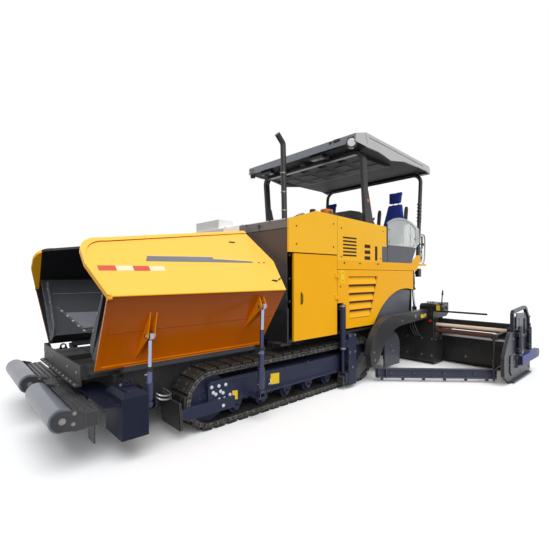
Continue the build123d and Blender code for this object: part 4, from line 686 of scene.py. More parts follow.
# Wear plates inside the wings: bolted steel scoured grey by the mix, with welded joints, a pale doubling
# plate where the conveyor's mouth rubs, and the flap that closes the front, bolted along its edge.
liner_steel = enamel("liner_steel", (0.026, 0.028, 0.034), (0.015, 0.017, 0.021), 0.46, wear=0.5, soil=0.14,
                     peel=0.9, bare=(0.17, 0.175, 0.19), dust=(0.12, 0.115, 0.11), metal=0.25, relief=0.001)
scoured = enamel("scoured_plate", (0.115, 0.12, 0.14), (0.075, 0.08, 0.095), 0.40, wear=0.4, soil=0.12,
                 peel=0.8, metal=0.4)
LINED_DEEP, FLAP_X = 0.190, 3.1055
dress(liner_steel, "hopper_liner_left", "hopper_liner_right")
for side, m in SIDES:
    lower, outward = on_skin(FOOT, FOLD, m)
    inward = (0, -outward[1], -outward[2])

    def lined(x, along, proud):
        """A place on the liner's face."""
        return lower(x, along, -LINED_DEEP - proud)

    bm = bmesh.new()
    for along in (0.645, 0.04):
        turned(bm, lined(1.25, along, 0.0), lined(3.09, along, 0.0), 0.006, 8)
    turned(bm, lined(2.716, 0.0, 0.012), lined(3.015, 0.430, 0.012), 0.006, 8)
    for x in (1.75, 2.35):
        turned(bm, lined(x, 0.04, 0.0), lined(x, 0.86, 0.0), 0.004, 8)
    piece(f"liner_welds_{side}", bm, scoured, f"wing_{side}")
    bm = bmesh.new()
    prism(bm, [(2.93, 0.335), (2.42, 0.315), (2.42, 0.075), (2.745, 0.075)], lined, 0.0005, 0.008, 0.002)
    piece(f"liner_doubling_{side}", bm, scoured, f"wing_{side}")
    bm = bmesh.new()
    bolt_heads(bm, [lined(2.745 + 0.055 * i, 0.03 + 0.082 * i, 0.012) for i in range(5)], inward, 0.012)
    # the flap's own bolts, along its outer edge and through the skin's front return
    for t in [0.07 + 0.105 * i for i in range(8)]:
        bolt_heads(bm, [lower(FLAP_X, t, -0.045)], (1, 0, 0), 0.013, 0.008)
    bolt_heads(bm, [lower(FLAP_X, t, -0.288) for t in (0.24, 0.45, 0.66)], (1, 0, 0), 0.011, 0.007)
    piece(f"liner_bolts_{side}", bm, zinc, f"wing_{side}")
    bm = bmesh.new()
    prism(bm, [(-0.016, 0.02), (-0.016, 0.83), (-0.072, 0.83), (-0.072, 0.02)],
          lambda deep, along, x: lower(x, along, deep), 3.1045, 3.1105, 0.002)
    piece(f"liner_front_strip_{side}", bm, scoured if m < 0 else liner_steel, f"wing_{side}")

# Wing cylinders: navy barrels with a paler upper sleeve and a gland nut; the rods are ground chrome
# with a blue cast.
# rank, foot as (y, z), height where the paint turns paler, length and radius of the barrel
CYLINDERS = (("front", (1.24, 0.44), 0.64, 0.340, 0.025), ("rear", (1.40, 0.33), 0.759, 0.500, 0.031))
for rank, foot, split, length, sleeve in CYLINDERS:
    x, pin = TILT_PINS[rank]
    paint = enamel(f"cylinder_navy_{rank}", (0.034, 0.043, 0.10), (0.020, 0.026, 0.062), 0.32, wear=0.4,
                   soil=0.2, coat=0.25)
    where, facing = spot_of(paint)
    tinged(paint, where["Z"], split - 0.001, split + 0.001, (0.11, 0.13, 0.27))
    chrome = enamel(f"rod_chrome_{rank}", (0.42, 0.43, 0.55), (0.34, 0.35, 0.46), 0.16, wear=0.0, soil=0.08,
                    peel=0.0, metal=1.0)
    if rank == "rear":
        where, facing = spot_of(chrome)
        tinged(chrome, where["Z"], 1.032, 1.028, (0.062, 0.072, 0.16))
    run = Vector((0, pin[0] - foot[0], pin[1] - foot[1])).normalized()
    for side, m in SIDES:
        dress(paint, f"wing_barrel_{rank}_{side}")
        dress(chrome, f"wing_rod_{rank}_{side}")

        def along(d):
            """A place on the cylinder's axis, d up from its foot."""
            return (x, m * (foot[0] + run.y * d), foot[1] + run.z * d)

        bm = bmesh.new()
        turned(bm, along(length - 0.030), along(length + 0.004), sleeve + 0.008, 28, None, 0.003)
        turned(bm, along(length + 0.003), along(length + 0.010), sleeve - 0.002, 28)
        piece(f"barrel_gland_{rank}_{side}", bm, black_enamel, f"wing_barrel_{rank}_{side}")
        bm = bmesh.new()
        for d in (0.09, length - 0.06):
            at = Vector(along(d))
            turned(bm, at + Vector((0.026, 0, 0)), at + Vector((0.050, 0, 0)), 0.011, 14, 0.009)
        piece(f"barrel_ports_{rank}_{side}", bm, zinc, f"wing_barrel_{rank}_{side}")

# Hood: light grey pressed covers with small bolts along their edges. The front one's skirt is mid grey with
# a black hook latch on each side, and the wall below it goes from brown near the top down to black.
HOOD_FALL = 0.0338
pale_cover = enamel("hood_light_grey", (0.55, 0.53, 0.51), (0.46, 0.445, 0.43), 0.42, wear=0.25, soil=0.25,
                    coat=0.15)
lid_skin = enamel("hood_lid_grey", (0.55, 0.53, 0.51), (0.47, 0.455, 0.44), 0.42, wear=0.25, soil=0.25,
                  coat=0.15)
where, facing = spot_of(lid_skin)
tinged(lid_skin, facing["Z"], 0.55, 0.35, (0.155, 0.145, 0.145))
tinged(lid_skin, where["X"], 1.214, 1.218, (0.78, 0.755, 0.725))
dress(pale_cover, "hood_rear")
dress(lid_skin, "hood_lid")
wall = enamel("cooler_wall", (0.020, 0.020, 0.024), (0.012, 0.012, 0.014), 0.40, wear=0.3, soil=0.2, coat=0.1)
where, facing = spot_of(wall)
# darker towards the bottom: brown high on the wall, black lower down
tinged(wall, where["Z"], 1.45, 2.05, (0.085, 0.060, 0.052))
dress(wall, "hopper_back_wall")
bm = bmesh.new()
bolt_heads(bm, [(x, m * 1.19, 2.484 - HOOD_FALL * (0.37 - x)) for m in (1, -1)
                for x in (0.28, -0.10, -0.50, -0.80, -1.25)], (0, 0, 1), 0.012, 0.007)
piece("rear_hood_bolts", bm, black_enamel, "tractor")
bm = bmesh.new()
for m in (1, -1):
    bolt_heads(bm, strip((0.42, m * 1.17, 2.494), (0.90, m * 1.17, 2.360), 4), (0.27, 0, 1), 0.010, 0.006)
    bolt_heads(bm, strip((1.00, m * 0.97, 2.340), (1.10, m * 0.60, 2.315), 2), (0.2, 0, 1), 0.010, 0.006)
    bolt_heads(bm, [(1.13, m * 0.56, 2.314), (1.42, m * 0.56, 2.256)], (0.2, 0, 1), 0.010, 0.006)
piece("front_hood_bolts", bm, black_enamel, "hood_lid")
for side, m in SIDES:
    out = Vector((0.96, 0.27 * m, 0)).normalized()
    at = Vector((1.045, m * 0.812, 2.28))
    bm = bmesh.new()
    turned(bm, at, at + out * 0.022, 0.020, 18, 0.016, 0.002)
    turned(bm, at + out * 0.012 + Vector((0, 0, 0.010)), at + out * 0.030 + Vector((0.0, 0.03 * m, -0.055)),
           0.009, 12, 0.006)
    piece(f"hood_hook_{side}", bm, black_enamel, "hood_lid")

# Body sides: yellow folded panels on a black frame, screwed at their corners, with louvre blades in front
# of the engine bay, whose dark inside is painted shade, a lift-off door with a bow handle, and a reflective
# patch.
dress(yellow, "door_left", "door_right", "operator_platform")
# painted light: the upper side panels are a paler yellow, as lit from above
dress(machine_yellow("upper_panel_lit_yellow", paint=(0.96, 0.53, 0.030), shade=(0.92, 0.475, 0.022)),
      "upper_side_panels")
blade_yellow = machine_yellow("panel_yellow")
# painted light: the sloping upper faces of the louvre blades are a paler yellow
where, facing = spot_of(blade_yellow)
blades = joined(blade_yellow, mask_of(blade_yellow, facing["Z"], 0.25, 0.40),
                mask_of(blade_yellow, facing["Z"], 0.999, 0.97))
over(blade_yellow, blades, (0.93, 0.50, 0.12))
dress(blade_yellow, "lower_side_panels")
BODY_SIDE, LOW_STOP = 1.250, 1.2235
BLADE_STEP, FRONT_LEAN, REAR_LEAN = 0.126, 0.0556, 0.341
HANDLE_X = 0.7025
dark_gap = enamel("panel_gap", (0.010, 0.008, 0.007), (0.006, 0.005, 0.005), 0.8, wear=0, soil=0.1)
bay_shade = enamel("engine_bay_shade", (0.055, 0.016, 0.006), (0.028, 0.009, 0.004), 0.7, wear=0, soil=0.1)
patch_yellow = enamel("reflective_patch", (0.95, 0.62, 0.01), (0.88, 0.55, 0.01), 0.28, wear=0.1, soil=0.05)
for side, m in SIDES:
    def panel(x, z, proud):
        """A place on the body's side."""
        return (x, m * (BODY_SIDE + proud), z)

    bm = bmesh.new()
    bolt_heads(bm, [panel(x, z, 0) for x, z in ((0.795, 2.267), (0.040, 2.364), (0.795, 2.038),
                                                (0.040, 2.036), (-0.14, 2.32), (-1.26, 2.36), (-0.14, 1.905),
                                                (-1.18, 1.905), (-0.12, 1.47), (-0.12, 0.93))], (0, m, 0),
               0.009, 0.004)
    bolt_heads(bm, [(0.885, m * 1.216, z) for z in (1.30, 1.589, 1.891)], (0, m, 0), 0.013, 0.01)
    piece(f"panel_screws_{side}", bm, black_enamel, "tractor")
    bm = bmesh.new()
    prism(bm, oblong(-0.0455, 1.925, -0.0485, 2.482), panel, 0.0, 0.0012)
    prism(bm, oblong(-0.19, 1.2315, -0.05, 1.2285), panel, 0.0, 0.0012)
    piece(f"panel_seams_{side}", bm, dark_gap, "tractor")
    bm = bmesh.new()
    # dark sheets behind the openings: painted shade of the engine bay
    prism(bm, oblong(-0.16, 1.86, -1.14, 2.25), on_side(m), 1.190, 1.196, 0.001)
    prism(bm, oblong(-0.30, 0.96, -1.16, 1.64), on_side(m), 1.190, 1.196, 0.001)
    # the openings are filled with dark painted shade, and a strip of painted shade runs under each blade
    slits = [(-0.519, -0.180, 1.915 + 0.052 * i, 1.941 + 0.052 * i) for i in range(6)]
    slits += [(-0.890, -0.728, 1.875 + 0.092 * i, 1.931 + 0.092 * i) for i in range(3)]
    slits += [(-1.095, -1.020, 1.870, 2.100)]
    for x0, x1, low, high in slits:
        prism(bm, oblong(x0 - 0.002, low - 0.002, x1 + 0.002, high + 0.002), on_side(m), 1.225, 1.2445)
    for i in range(5):
        rise = BLADE_STEP * i
        z, front, rear = 0.985 + rise, -0.345 + FRONT_LEAN * rise, -0.885 - REAR_LEAN * rise
        prism(bm, oblong(rear, z - 0.020, front, z + 0.005), on_side(m), LOW_STOP, 1.2498)
    piece(f"bay_screens_{side}", bm, bay_shade, "tractor")
    bm = bmesh.new()
    prism(bm, oblong(-0.130, 1.52, -0.215, 1.70), panel, 0.0003, 0.002, 0.0005)
    piece(f"side_patch_{side}", bm, patch_yellow, "tractor")
    bm = bmesh.new()
    for z in (1.555, 1.665):
        turned(bm, panel(-0.172, z, 0.002), panel(-0.172, z, 0.005), 0.008, 14)
    for x in (-0.208, -0.60, -1.10):
        turned(bm, (x, m * BODY_SIDE, 1.815), (x, m * (BODY_SIDE + 0.012), 1.815), 0.014, 16, 0.011, 0.002)
    piece(f"side_knobs_{side}", bm, black_enamel, "tractor")
    hard_pipe(f"door_handle_{side}", [(HANDLE_X, 1.243, 1.270), (HANDLE_X, 1.268, 1.268),
                                      (HANDLE_X, 1.276, 1.29), (HANDLE_X, 1.276, 1.370),
                                      (HANDLE_X, 1.268, 1.392), (HANDLE_X, 1.243, 1.390)], 0.0065,
              f"door_{side}", black_enamel, m)
    bm = bmesh.new()
    # painted shade: a dark plate at the back of the handle's recess
    block(bm, (0.690, m * 1.2375, 1.252), (0.715, m * 1.2390, 1.413), 0)
    piece(f"door_recess_{side}", bm, dark_gap, f"door_{side}")
    bm = bmesh.new()
    block(bm, (0.86, m * 1.02, 0.742), (1.03, m * 1.21, 0.772), 0.006)
    for x in (0.88, 0.99):
        block(bm, (x, m * 0.93, 0.70), (x + 0.02, m * 1.03, 0.765), 0.003)
    piece(f"side_step_{side}", bm, black_enamel, "tractor")

# Grey filler panels under the rail and the side screens: satin blue-grey sheet with a folded edge.
dress(enamel("filler_grey", (0.085, 0.090, 0.108), (0.066, 0.070, 0.085), 0.40, wear=0.2, soil=0.12,
             coat=0.2), "grey_side_plates")

# Side screens beside the seats: clear moulded polycarbonate in a light grey rubber frame, screwed to the
# grey plate below.
screen_glass = bpy.data.materials.new("screen_polycarbonate")
screen_glass.use_nodes = True
nodes, links = screen_glass.node_tree.nodes, screen_glass.node_tree.links
pane = nodes["Principled BSDF"]
pane.inputs["Transmission Weight"].default_value = 0.55
pane.inputs["IOR"].default_value = 1.2
smears = nodes.new("ShaderNodeTexNoise")
smears.inputs["Scale"].default_value, smears.inputs["Detail"].default_value = 2.2, 5
tint = nodes.new("ShaderNodeValToRGB")
tint.color_ramp.elements[0].color = (0.66, 0.70, 0.69, 1)
tint.color_ramp.elements[1].color = (0.82, 0.85, 0.83, 1)
links.new(smears.outputs["Fac"], tint.inputs["Fac"])
links.new(tint.outputs["Color"], pane.inputs["Base Color"])
links.new(mask_of(screen_glass, smears.outputs["Fac"], 0.0, 4.0), pane.inputs["Roughness"])
dress(screen_glass, "side_screens")
frame_grey = enamel("screen_frame_grey", (0.50, 0.51, 0.52), (0.40, 0.41, 0.42), 0.45, wear=0.1, soil=0.15)


def arc_points(first, middle, last, count):
    """Points of the circle through three points, from the first to the last, as (x, z)."""
    (ax, az), (bx, bz), (cx, cz) = first, middle, last
    turn = 2 * (ax * (bz - cz) + bx * (cz - az) + cx * (az - bz))
    a, b, c = ax * ax + az * az, bx * bx + bz * bz, cx * cx + cz * cz
    ox = (a * (bz - cz) + b * (cz - az) + c * (az - bz)) / turn
    oz = (a * (cx - bx) + b * (ax - cx) + c * (bx - ax)) / turn
    start, end = (Vector((x - ox, z - oz)) for x, z in (first, last))
    sweep = start.angle_signed(end)
    return [(ox + cos(-sweep * i / count) * start.x - sin(-sweep * i / count) * start.y,
             oz + sin(-sweep * i / count) * start.x + cos(-sweep * i / count) * start.y)
            for i in range(count + 1)]


SCREEN_FACE = 1.2505
TOP_EDGE = arc_points((-1.402, 2.518), (-1.990, 2.638), (-2.398, 2.498), 16)
SCREEN = [(-1.402, 2.143), *TOP_EDGE, (-2.416, 2.262), (-2.286, 2.143)]
for side, m in SIDES:
    bm = bmesh.new()
    middle = Vector((-1.90, 2.37))
    count = len(SCREEN)
    width = [0.022] + [0.030 if x < -1.5 else 0.018 for x, z in SCREEN[1:-2]] + [0.026, 0.020]
    inner = [Vector(p) + (middle - Vector(p)).normalized() * w for p, w in zip(SCREEN, width)]
    for i in range(count):
        j = (i + 1) % count
        outline = [SCREEN[i], SCREEN[j], tuple(inner[j]), tuple(inner[i])]
        for low, high in ((1.2502, 1.257), (1.234, 1.2418)):
            prism(bm, outline, on_side(m), low, high)
    prism(bm, oblong(-1.96, 2.15, -1.945, 2.62), on_side(m), 1.225, 1.2415)
    prism(bm, oblong(-2.22, 2.15, -2.205, 2.60), on_side(m), 1.225, 1.2415)
    piece(f"screen_frame_{side}", bm, frame_grey, "tractor")
    bm = bmesh.new()
    bolt_heads(bm, [(-1.444, m * SCREEN_FACE, 2.408), (-1.444, m * SCREEN_FACE, 2.20),
                    (-2.35, m * SCREEN_FACE, 2.30)], (0, m, 0), 0.012, 0.008)
    block(bm, (-1.412, m * 1.236, 1.852), (-1.396, m * 1.252, 2.50), 0.002)
    piece(f"screen_screws_{side}", bm, black_enamel, "tractor")

# Platform's rear corners: a grab rail, a stalk for the outside control box, a grey bracket plate with two
# holes, and a black work lamp, all clamped to the rear hoop.
STALK_Y, HOOP_Y, OVAL_X = 1.17, 1.159, -2.775
bracket_grey = enamel("bracket_grey", (0.46, 0.47, 0.48), (0.36, 0.37, 0.38), 0.42, wear=0.3, soil=0.2)
tube_black = enamel("tube_black", (0.016, 0.016, 0.018), (0.010, 0.010, 0.011), 0.30, wear=0.2, soil=0.15,
                    coat=0.3)


def hoop_x(z):
    """Middle of the rear hoop's leg at a height; the leg leans back."""
    return -2.648 - 0.098 * (z - 1.84) / 1.6


for side, m in SIDES:
    hard_pipe(f"corner_rail_{side}", [(-2.78, 1.20, 1.86), (-2.84, 1.20, 1.90), (-2.855, 1.20, 2.10),
                                      (-2.86, 1.20, 2.36), (-2.82, 1.20, 2.42), (-2.74, 1.19, 2.42),
                                      (-2.672, 1.175, 2.42)], 0.014, "tractor", bracket_grey,
              m)
    bm = bmesh.new()
    turned(bm, (-2.69, m * STALK_Y, 2.235), (-2.875, m * STALK_Y, 2.235), 0.013, 14)
    turned(bm, (-2.80, m * STALK_Y, 2.15), (-2.80, m * STALK_Y, 2.395), 0.016, 14, None, 0.004)
    turned(bm, (-2.84, m * STALK_Y, 2.21), (-2.84, m * STALK_Y, 2.26), 0.030, 18, 0.026, 0.004)
    block(bm, (-2.70, m * 1.13, 1.60), (-2.60, m * 1.21, 1.76), 0.012)
    turned(bm, (-2.60, m * STALK_Y, 1.68), (-2.585, m * STALK_Y, 1.68), 0.045, 24, 0.040, 0.002)
    piece(f"corner_stalk_{side}", bm, tube_black, "tractor")
    bm = bmesh.new()
    oval = [(OVAL_X + 0.055 * cos(a), 2.03 + 0.155 * sin(a)) for a in (tau * i / 28 for i in range(28))]
    prism(bm, oval, on_side(m), 1.160, 1.168, 0.002)
    piece(f"corner_plate_{side}", bm, bracket_grey, "tractor")
    bm = bmesh.new()
    for z in (1.97, 2.09):
        turned(bm, (OVAL_X, m * 1.1675, z), (OVAL_X, m * 1.170, z), 0.028, 20)
    for k in range(6):
        z = 2.67 + 0.065 * k
        x = hoop_x(z)
        turned(bm, (x, m * HOOP_Y, z), (x - 0.002, m * HOOP_Y, z + 0.032), 0.048 if k % 2 else 0.043, 12,
               0.040, 0.004)
        turned(bm, (x - 0.05, m * 1.165, z - 0.01), (x - 0.03, m * 1.175, z + 0.05), 0.018, 10, 0.013, 0.003)
    for z in (2.36, 2.50):
        x = hoop_x(z)
        turned(bm, (x, m * HOOP_Y, z), (x - 0.001, m * HOOP_Y, z + 0.02), 0.040, 16)
    piece(f"corner_cables_{side}", bm, tube_black, "tractor")

# Operator seats: moulded foam under blue woven covers, sewn with one channel down each side of the
# cushion and of the back, on black pedestals with folding armrests. The covers are blown up as cloth.
SEAT_Y = 0.80


def build_weave():
    """Woven upholstery as a node group: two crossing threads, fading a little in patches."""
    group = bpy.data.node_groups.new("seat_weave", "ShaderNodeTree")
    for label, kind in (("Yarn", "NodeSocketColor"), ("Faded", "NodeSocketColor"),
                        ("Threads", "NodeSocketFloat")):
        group.interface.new_socket(label, in_out="INPUT", socket_type=kind)
    for label, kind in (("Colour", "NodeSocketColor"), ("Height", "NodeSocketFloat")):
        group.interface.new_socket(label, in_out="OUTPUT", socket_type=kind)
    nodes, links = group.nodes, group.links
    given, made = nodes.new("NodeGroupInput"), nodes.new("NodeGroupOutput")
    place = nodes.new("ShaderNodeTexCoord")
    threads = []
    for direction in ("Y", "Z"):
        wave = nodes.new("ShaderNodeTexWave")
        wave.bands_direction = direction
        links.new(place.outputs["Object"], wave.inputs["Vector"])
        links.new(given.outputs["Threads"], wave.inputs["Scale"])
        threads.append(wave.outputs["Fac"])
    cross = nodes.new("ShaderNodeMath")
    cross.operation = "MAXIMUM"
    links.new(threads[0], cross.inputs[0])
    links.new(threads[1], cross.inputs[1])
    patches = nodes.new("ShaderNodeTexNoise")
    patches.inputs["Scale"].default_value, patches.inputs["Detail"].default_value = 4.5, 6
    links.new(place.outputs["Object"], patches.inputs["Vector"])
    fade = nodes.new("ShaderNodeMath")
    fade.operation = "MULTIPLY_ADD"
    fade.inputs[1].default_value, fade.inputs[2].default_value = 0.30, -0.05
    links.new(cross.outputs[0], fade.inputs[0])
    share = nodes.new("ShaderNodeMath")
    share.operation = "MULTIPLY_ADD"
    share.inputs[1].default_value = 0.8
    links.new(patches.outputs["Fac"], share.inputs[0])
    links.new(fade.outputs[0], share.inputs[2])
    mixed = nodes.new("ShaderNodeMix")
    mixed.data_type = "RGBA"
    for socket, value in (("Factor", share.outputs[0]), ("A", given.outputs["Yarn"]),
                          ("B", given.outputs["Faded"])):
        links.new(value, mixed.inputs[socket])
    links.new(mixed.outputs["Result"], made.inputs["Colour"])
    links.new(cross.outputs[0], made.inputs["Height"])
    return group


blue_cloth = bpy.data.materials.new("seat_blue_cloth")
blue_cloth.use_nodes = True
nodes, links = blue_cloth.node_tree.nodes, blue_cloth.node_tree.links
weave = nodes.new("ShaderNodeGroup")
weave.node_tree = build_weave()
weave.inputs["Yarn"].default_value = (0.010, 0.020, 0.17, 1)
weave.inputs["Faded"].default_value = (0.022, 0.050, 0.33, 1)
weave.inputs["Threads"].default_value = 160
cloth = nodes["Principled BSDF"]
cloth.inputs["Roughness"].default_value = 0.82
cloth.inputs["Sheen Weight"].default_value = 0.08
cloth.inputs["Specular IOR Level"].default_value = 0.2
links.new(weave.outputs["Colour"], cloth.inputs["Base Color"])
bump = nodes.new("ShaderNodeBump")
bump.inputs["Distance"].default_value = 0.0008
links.new(weave.outputs["Height"], bump.inputs["Height"])
links.new(bump.outputs["Normal"], cloth.inputs["Normal"])


def shown_mesh(made):
    """A mesh as its modifiers leave it."""
    bpy.context.view_layer.update()
    return bpy.data.meshes.new_from_object(made.evaluated_get(bpy.context.evaluated_depsgraph_get()))


def stuffed(name, outline, widths, channel, swell):
    """Crowned cover over foam: side outline, half width at each point, seams held in as it is blown up."""
    bm = bmesh.new()
    rings = [[bm.verts.new((x, share * half, z)) for (x, z), half in zip(outline, widths)]
             for share in (-1, 1)]
    bm.faces.new(rings[0])
    bm.faces.new(rings[1][::-1])
    for i in range(len(outline)):
        j = (i + 1) % len(outline)
        bm.faces.new((rings[0][i], rings[1][i], rings[1][j], rings[0][j]))
    bmesh.ops.recalc_face_normals(bm, faces=bm.faces)
    bmesh.ops.bevel(bm, geom=list(bm.edges), offset=0.024, segments=3, affect="EDGES", profile=0.5)
    mesh = bpy.data.meshes.new(name)
    bm.to_mesh(mesh)
    bm.free()
    cover = bpy.data.objects.new(name, mesh)
    scene.collection.objects.link(cover)
    fine = cover.modifiers.new("even mesh", "REMESH")
    fine.mode, fine.voxel_size = "VOXEL", 0.011
    cover.data = shown_mesh(cover)
    cover.modifiers.clear()
    seams = cover.vertex_groups.new(name="seams")
    held = [v.index for v in cover.data.vertices
            if abs(abs(v.co.y) - channel) < 0.006 or v.co.z < min(z for x, z in outline) + 0.008]
    seams.add(held, 1.0, "REPLACE")
    start = [v.co.copy() for v in cover.data.vertices]
    blown = cover.modifiers.new("cover", "CLOTH")
    blown.settings.use_pressure = True
    blown.settings.uniform_pressure_force = 4
    blown.settings.effector_weights.gravity = 0
    blown.settings.vertex_group_mass = "seams"
    for step in range(1, 21):
        scene.frame_set(step)
    puffed = shown_mesh(cover)
    cover.modifiers.clear()
    for at, v in zip(start, puffed.vertices):
        move = v.co - at
        v.co = at + move * min(1, swell / max(move.length, 1e-6))
    cover.data = puffed
    scene.frame_set(1)
    for f in cover.data.polygons:
        f.use_smooth = True
    cover.data.materials.clear()
    cover.data.materials.append(blue_cloth)
    return cover


# name, side outline as (x, z), half widths, how far out the sewn channel runs, and the swell
SEAT_PARTS = (("seat_cushion", [(-2.385, 2.265), (-1.92, 2.265), (-1.892, 2.30), (-1.905, 2.34),
                                (-1.95, 2.357), (-2.385, 2.345)], [0.222] * 6, 0.145, 0.022),
              ("seat_back", [(-2.405, 2.375), (-2.300, 2.375), (-2.335, 2.62), (-2.415, 2.990),
                             (-2.445, 3.020), (-2.480, 2.990), (-2.450, 2.62)],
               [0.212, 0.212, 0.205, 0.150, 0.138, 0.150, 0.205], 0.115, 0.022),
              ("seat_headrest", [(-2.478, 3.036), (-2.402, 3.032), (-2.435, 3.245), (-2.490, 3.262),
                                 (-2.518, 3.23)], [0.118, 0.118, 0.140, 0.132, 0.136], 0.5, 0.018))
seat_shapes = [stuffed(*shape) for shape in SEAT_PARTS]
for side, m in SIDES:
    for shape in seat_shapes:
        cover = bpy.data.objects.new(f"{shape.name}_{side}", shape.data)
        scene.collection.objects.link(cover)
        cover.location.y = m * SEAT_Y
        fine = cover.modifiers.new("fine", "SUBSURF")
        fine.levels = fine.render_levels = 1
        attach(cover, "tractor")
for shape in seat_shapes:
    bpy.data.objects.remove(shape)
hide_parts("seat_covers")

moulded_black = enamel("moulded_black", (0.018, 0.018, 0.019), (0.011, 0.011, 0.012), 0.55, wear=0.1,
                       soil=0.25, peel=1.2)
dress(moulded_black, "seat_frames", "console")
for side, m in SIDES:
    bm = bmesh.new()
    for out in (-1, 1):
        y = SEAT_Y + out * 0.285
        outline = [(-2.345, 2.60), (-2.305, 2.58), (-2.270, 2.61), (-2.300, 2.86), (-2.335, 2.93),
                   (-2.375, 2.92), (-2.385, 2.86)]
        prism(bm, outline, on_side(m), y - 0.022, y + 0.022, 0.010)
        turned(bm, (-2.34, m * (y - out * 0.05), 2.60), (-2.34, m * (y + out * 0.03), 2.60), 0.022, 18, None,
               0.004)
    for y in (0.745, 0.855):
        turned(bm, (-2.462, m * y, 2.98), (-2.478, m * y, 3.11), 0.007, 12)
    block(bm, (-2.36, m * 0.60, 2.235), (-1.93, m * 1.0, 2.262), 0.006)
    for k in range(9):
        z = 2.02 + 0.022 * k
        block(bm, (-2.25, m * 0.625, z), (-2.03, m * 0.975, z + 0.010), 0.004)
    piece(f"seat_fittings_{side}", bm, moulded_black, "tractor")

# Console: textured black housing with covers rolled over its ends, dark gauges with pale rings and
# needles, rows of round switches, two joysticks, and an orange sounder box on the hood ahead of it.
PANEL_LOW, PANEL_HIGH = Vector((-1.640, 0, 2.480)), Vector((-1.380, 0, 2.740))
PANEL_UP = (PANEL_HIGH - PANEL_LOW).normalized()
GAUGE_UP, DIAL_R, LEVER_UP = 0.26, 0.029, 0.11
SOUNDER_X, SOUNDER_Z, HORN_Y = -0.245, 2.575, 0.885
PANEL_OUT = Vector((-PANEL_UP.z, 0, PANEL_UP.x))


def on_panel(y, up, proud):
    """A place across the sloped panel, up it, and proud of it."""
    return PANEL_LOW + PANEL_UP * up + PANEL_OUT * proud + Vector((0, y, 0))


gauge_face = enamel("gauge_face", (0.05, 0.05, 0.055), (0.03, 0.03, 0.032), 0.15, wear=0, soil=0.05, coat=0.6)
switch_red = enamel("switch_red", (0.62, 0.02, 0.02), (0.5, 0.015, 0.015), 0.35, wear=0.1, soil=0.1)
orange_plastic = enamel("sounder_orange", (0.62, 0.19, 0.020), (0.48, 0.12, 0.014), 0.4, wear=0.2, soil=0.15)
rings, faces, buttons, reds = bmesh.new(), bmesh.new(), bmesh.new(), bmesh.new()
for y0 in (-0.62, 0.62):
    for k in range(3):
        y = y0 + 0.11 * (k - 1)
        turned(rings, on_panel(y, GAUGE_UP, 0), on_panel(y, GAUGE_UP, 0.010), 0.043, 28, 0.040)
        turned(faces, on_panel(y, GAUGE_UP, 0.008), on_panel(y, GAUGE_UP, 0.011), 0.036, 28)
        for t in range(9):
            turn = radians(-130 + 32.5 * t)
            mark = on_panel(y + DIAL_R * sin(turn), GAUGE_UP + DIAL_R * cos(turn), 0.0112)
            turned(rings, mark, mark + PANEL_OUT * 0.0008, 0.0022, 6)
        turned(rings, on_panel(y, GAUGE_UP, 0.012), on_panel(y + 0.018, GAUGE_UP + 0.016, 0.012), 0.0015, 6)
    for row in range(3):
        up = 0.06 + 0.05 * row
        for k in range(7):
            y = y0 + 0.055 * (k - 3)
            turned(reds if (row, k) == (0, 6) else buttons, on_panel(y, up, 0), on_panel(y, up, 0.010), 0.014,
                   14, 0.012)
    for y in (y0 - 0.2, y0 + 0.2):
        turned(buttons, on_panel(y, LEVER_UP, 0), on_panel(y, LEVER_UP, 0.03), 0.032, 20, 0.014)
        turned(buttons, on_panel(y, LEVER_UP, 0.02), on_panel(y, LEVER_UP, 0.12), 0.008, 12)
        turned(buttons, on_panel(y, LEVER_UP, 0.11), on_panel(y, LEVER_UP + 0.005, 0.16), 0.020, 16, 0.015,
               0.005)
piece("gauge_rings", rings, bracket_grey, "tractor")
piece("gauge_faces", faces, gauge_face, "tractor")
piece("console_controls", buttons, moulded_black, "tractor")
piece("console_stop_switches", reds, switch_red, "tractor")
bm = bmesh.new()
for y in (-0.90, 0.62):
    hump = [(-1.33, 2.56), (-0.62, 2.458), (-0.60, 2.56), (-0.68, 2.66), (-0.86, 2.71), (-1.12, 2.72),
            (-1.25, 2.69), (-1.33, 2.61)]
    prism(bm, hump, on_side(1), y, y + 0.28, 0.022)
turned(bm, (-0.46, 0.86, 2.50), (-0.50, 0.86, 2.62), 0.075, 24, 0.060, 0.015)
turned(bm, (0.045, 0.86, 2.475), (0.045, 0.86, 2.62), 0.050, 20, 0.045, 0.010)
piece("console_covers", bm, moulded_black, "tractor")
bm = bmesh.new()
block(bm, (-0.33, 0.83, 2.455), (-0.16, 0.95, 2.650), 0.012)
turned(bm, (-0.16, HORN_Y, SOUNDER_Z), (-0.145, HORN_Y, SOUNDER_Z), 0.044, 24, 0.048)
turned(bm, (SOUNDER_X, 0.95, SOUNDER_Z), (SOUNDER_X, 0.965, SOUNDER_Z), 0.050, 24, 0.056)
piece("sounder_box", bm, orange_plastic, "tractor")
bm = bmesh.new()
turned(bm, (SOUNDER_X, 0.9655, SOUNDER_Z), (SOUNDER_X, 0.967, SOUNDER_Z), 0.046, 24)
turned(bm, (-0.1445, HORN_Y, SOUNDER_Z), (-0.143, HORN_Y, SOUNDER_Z), 0.038, 24)
piece("sounder_horn", bm, gauge_face, "tractor")
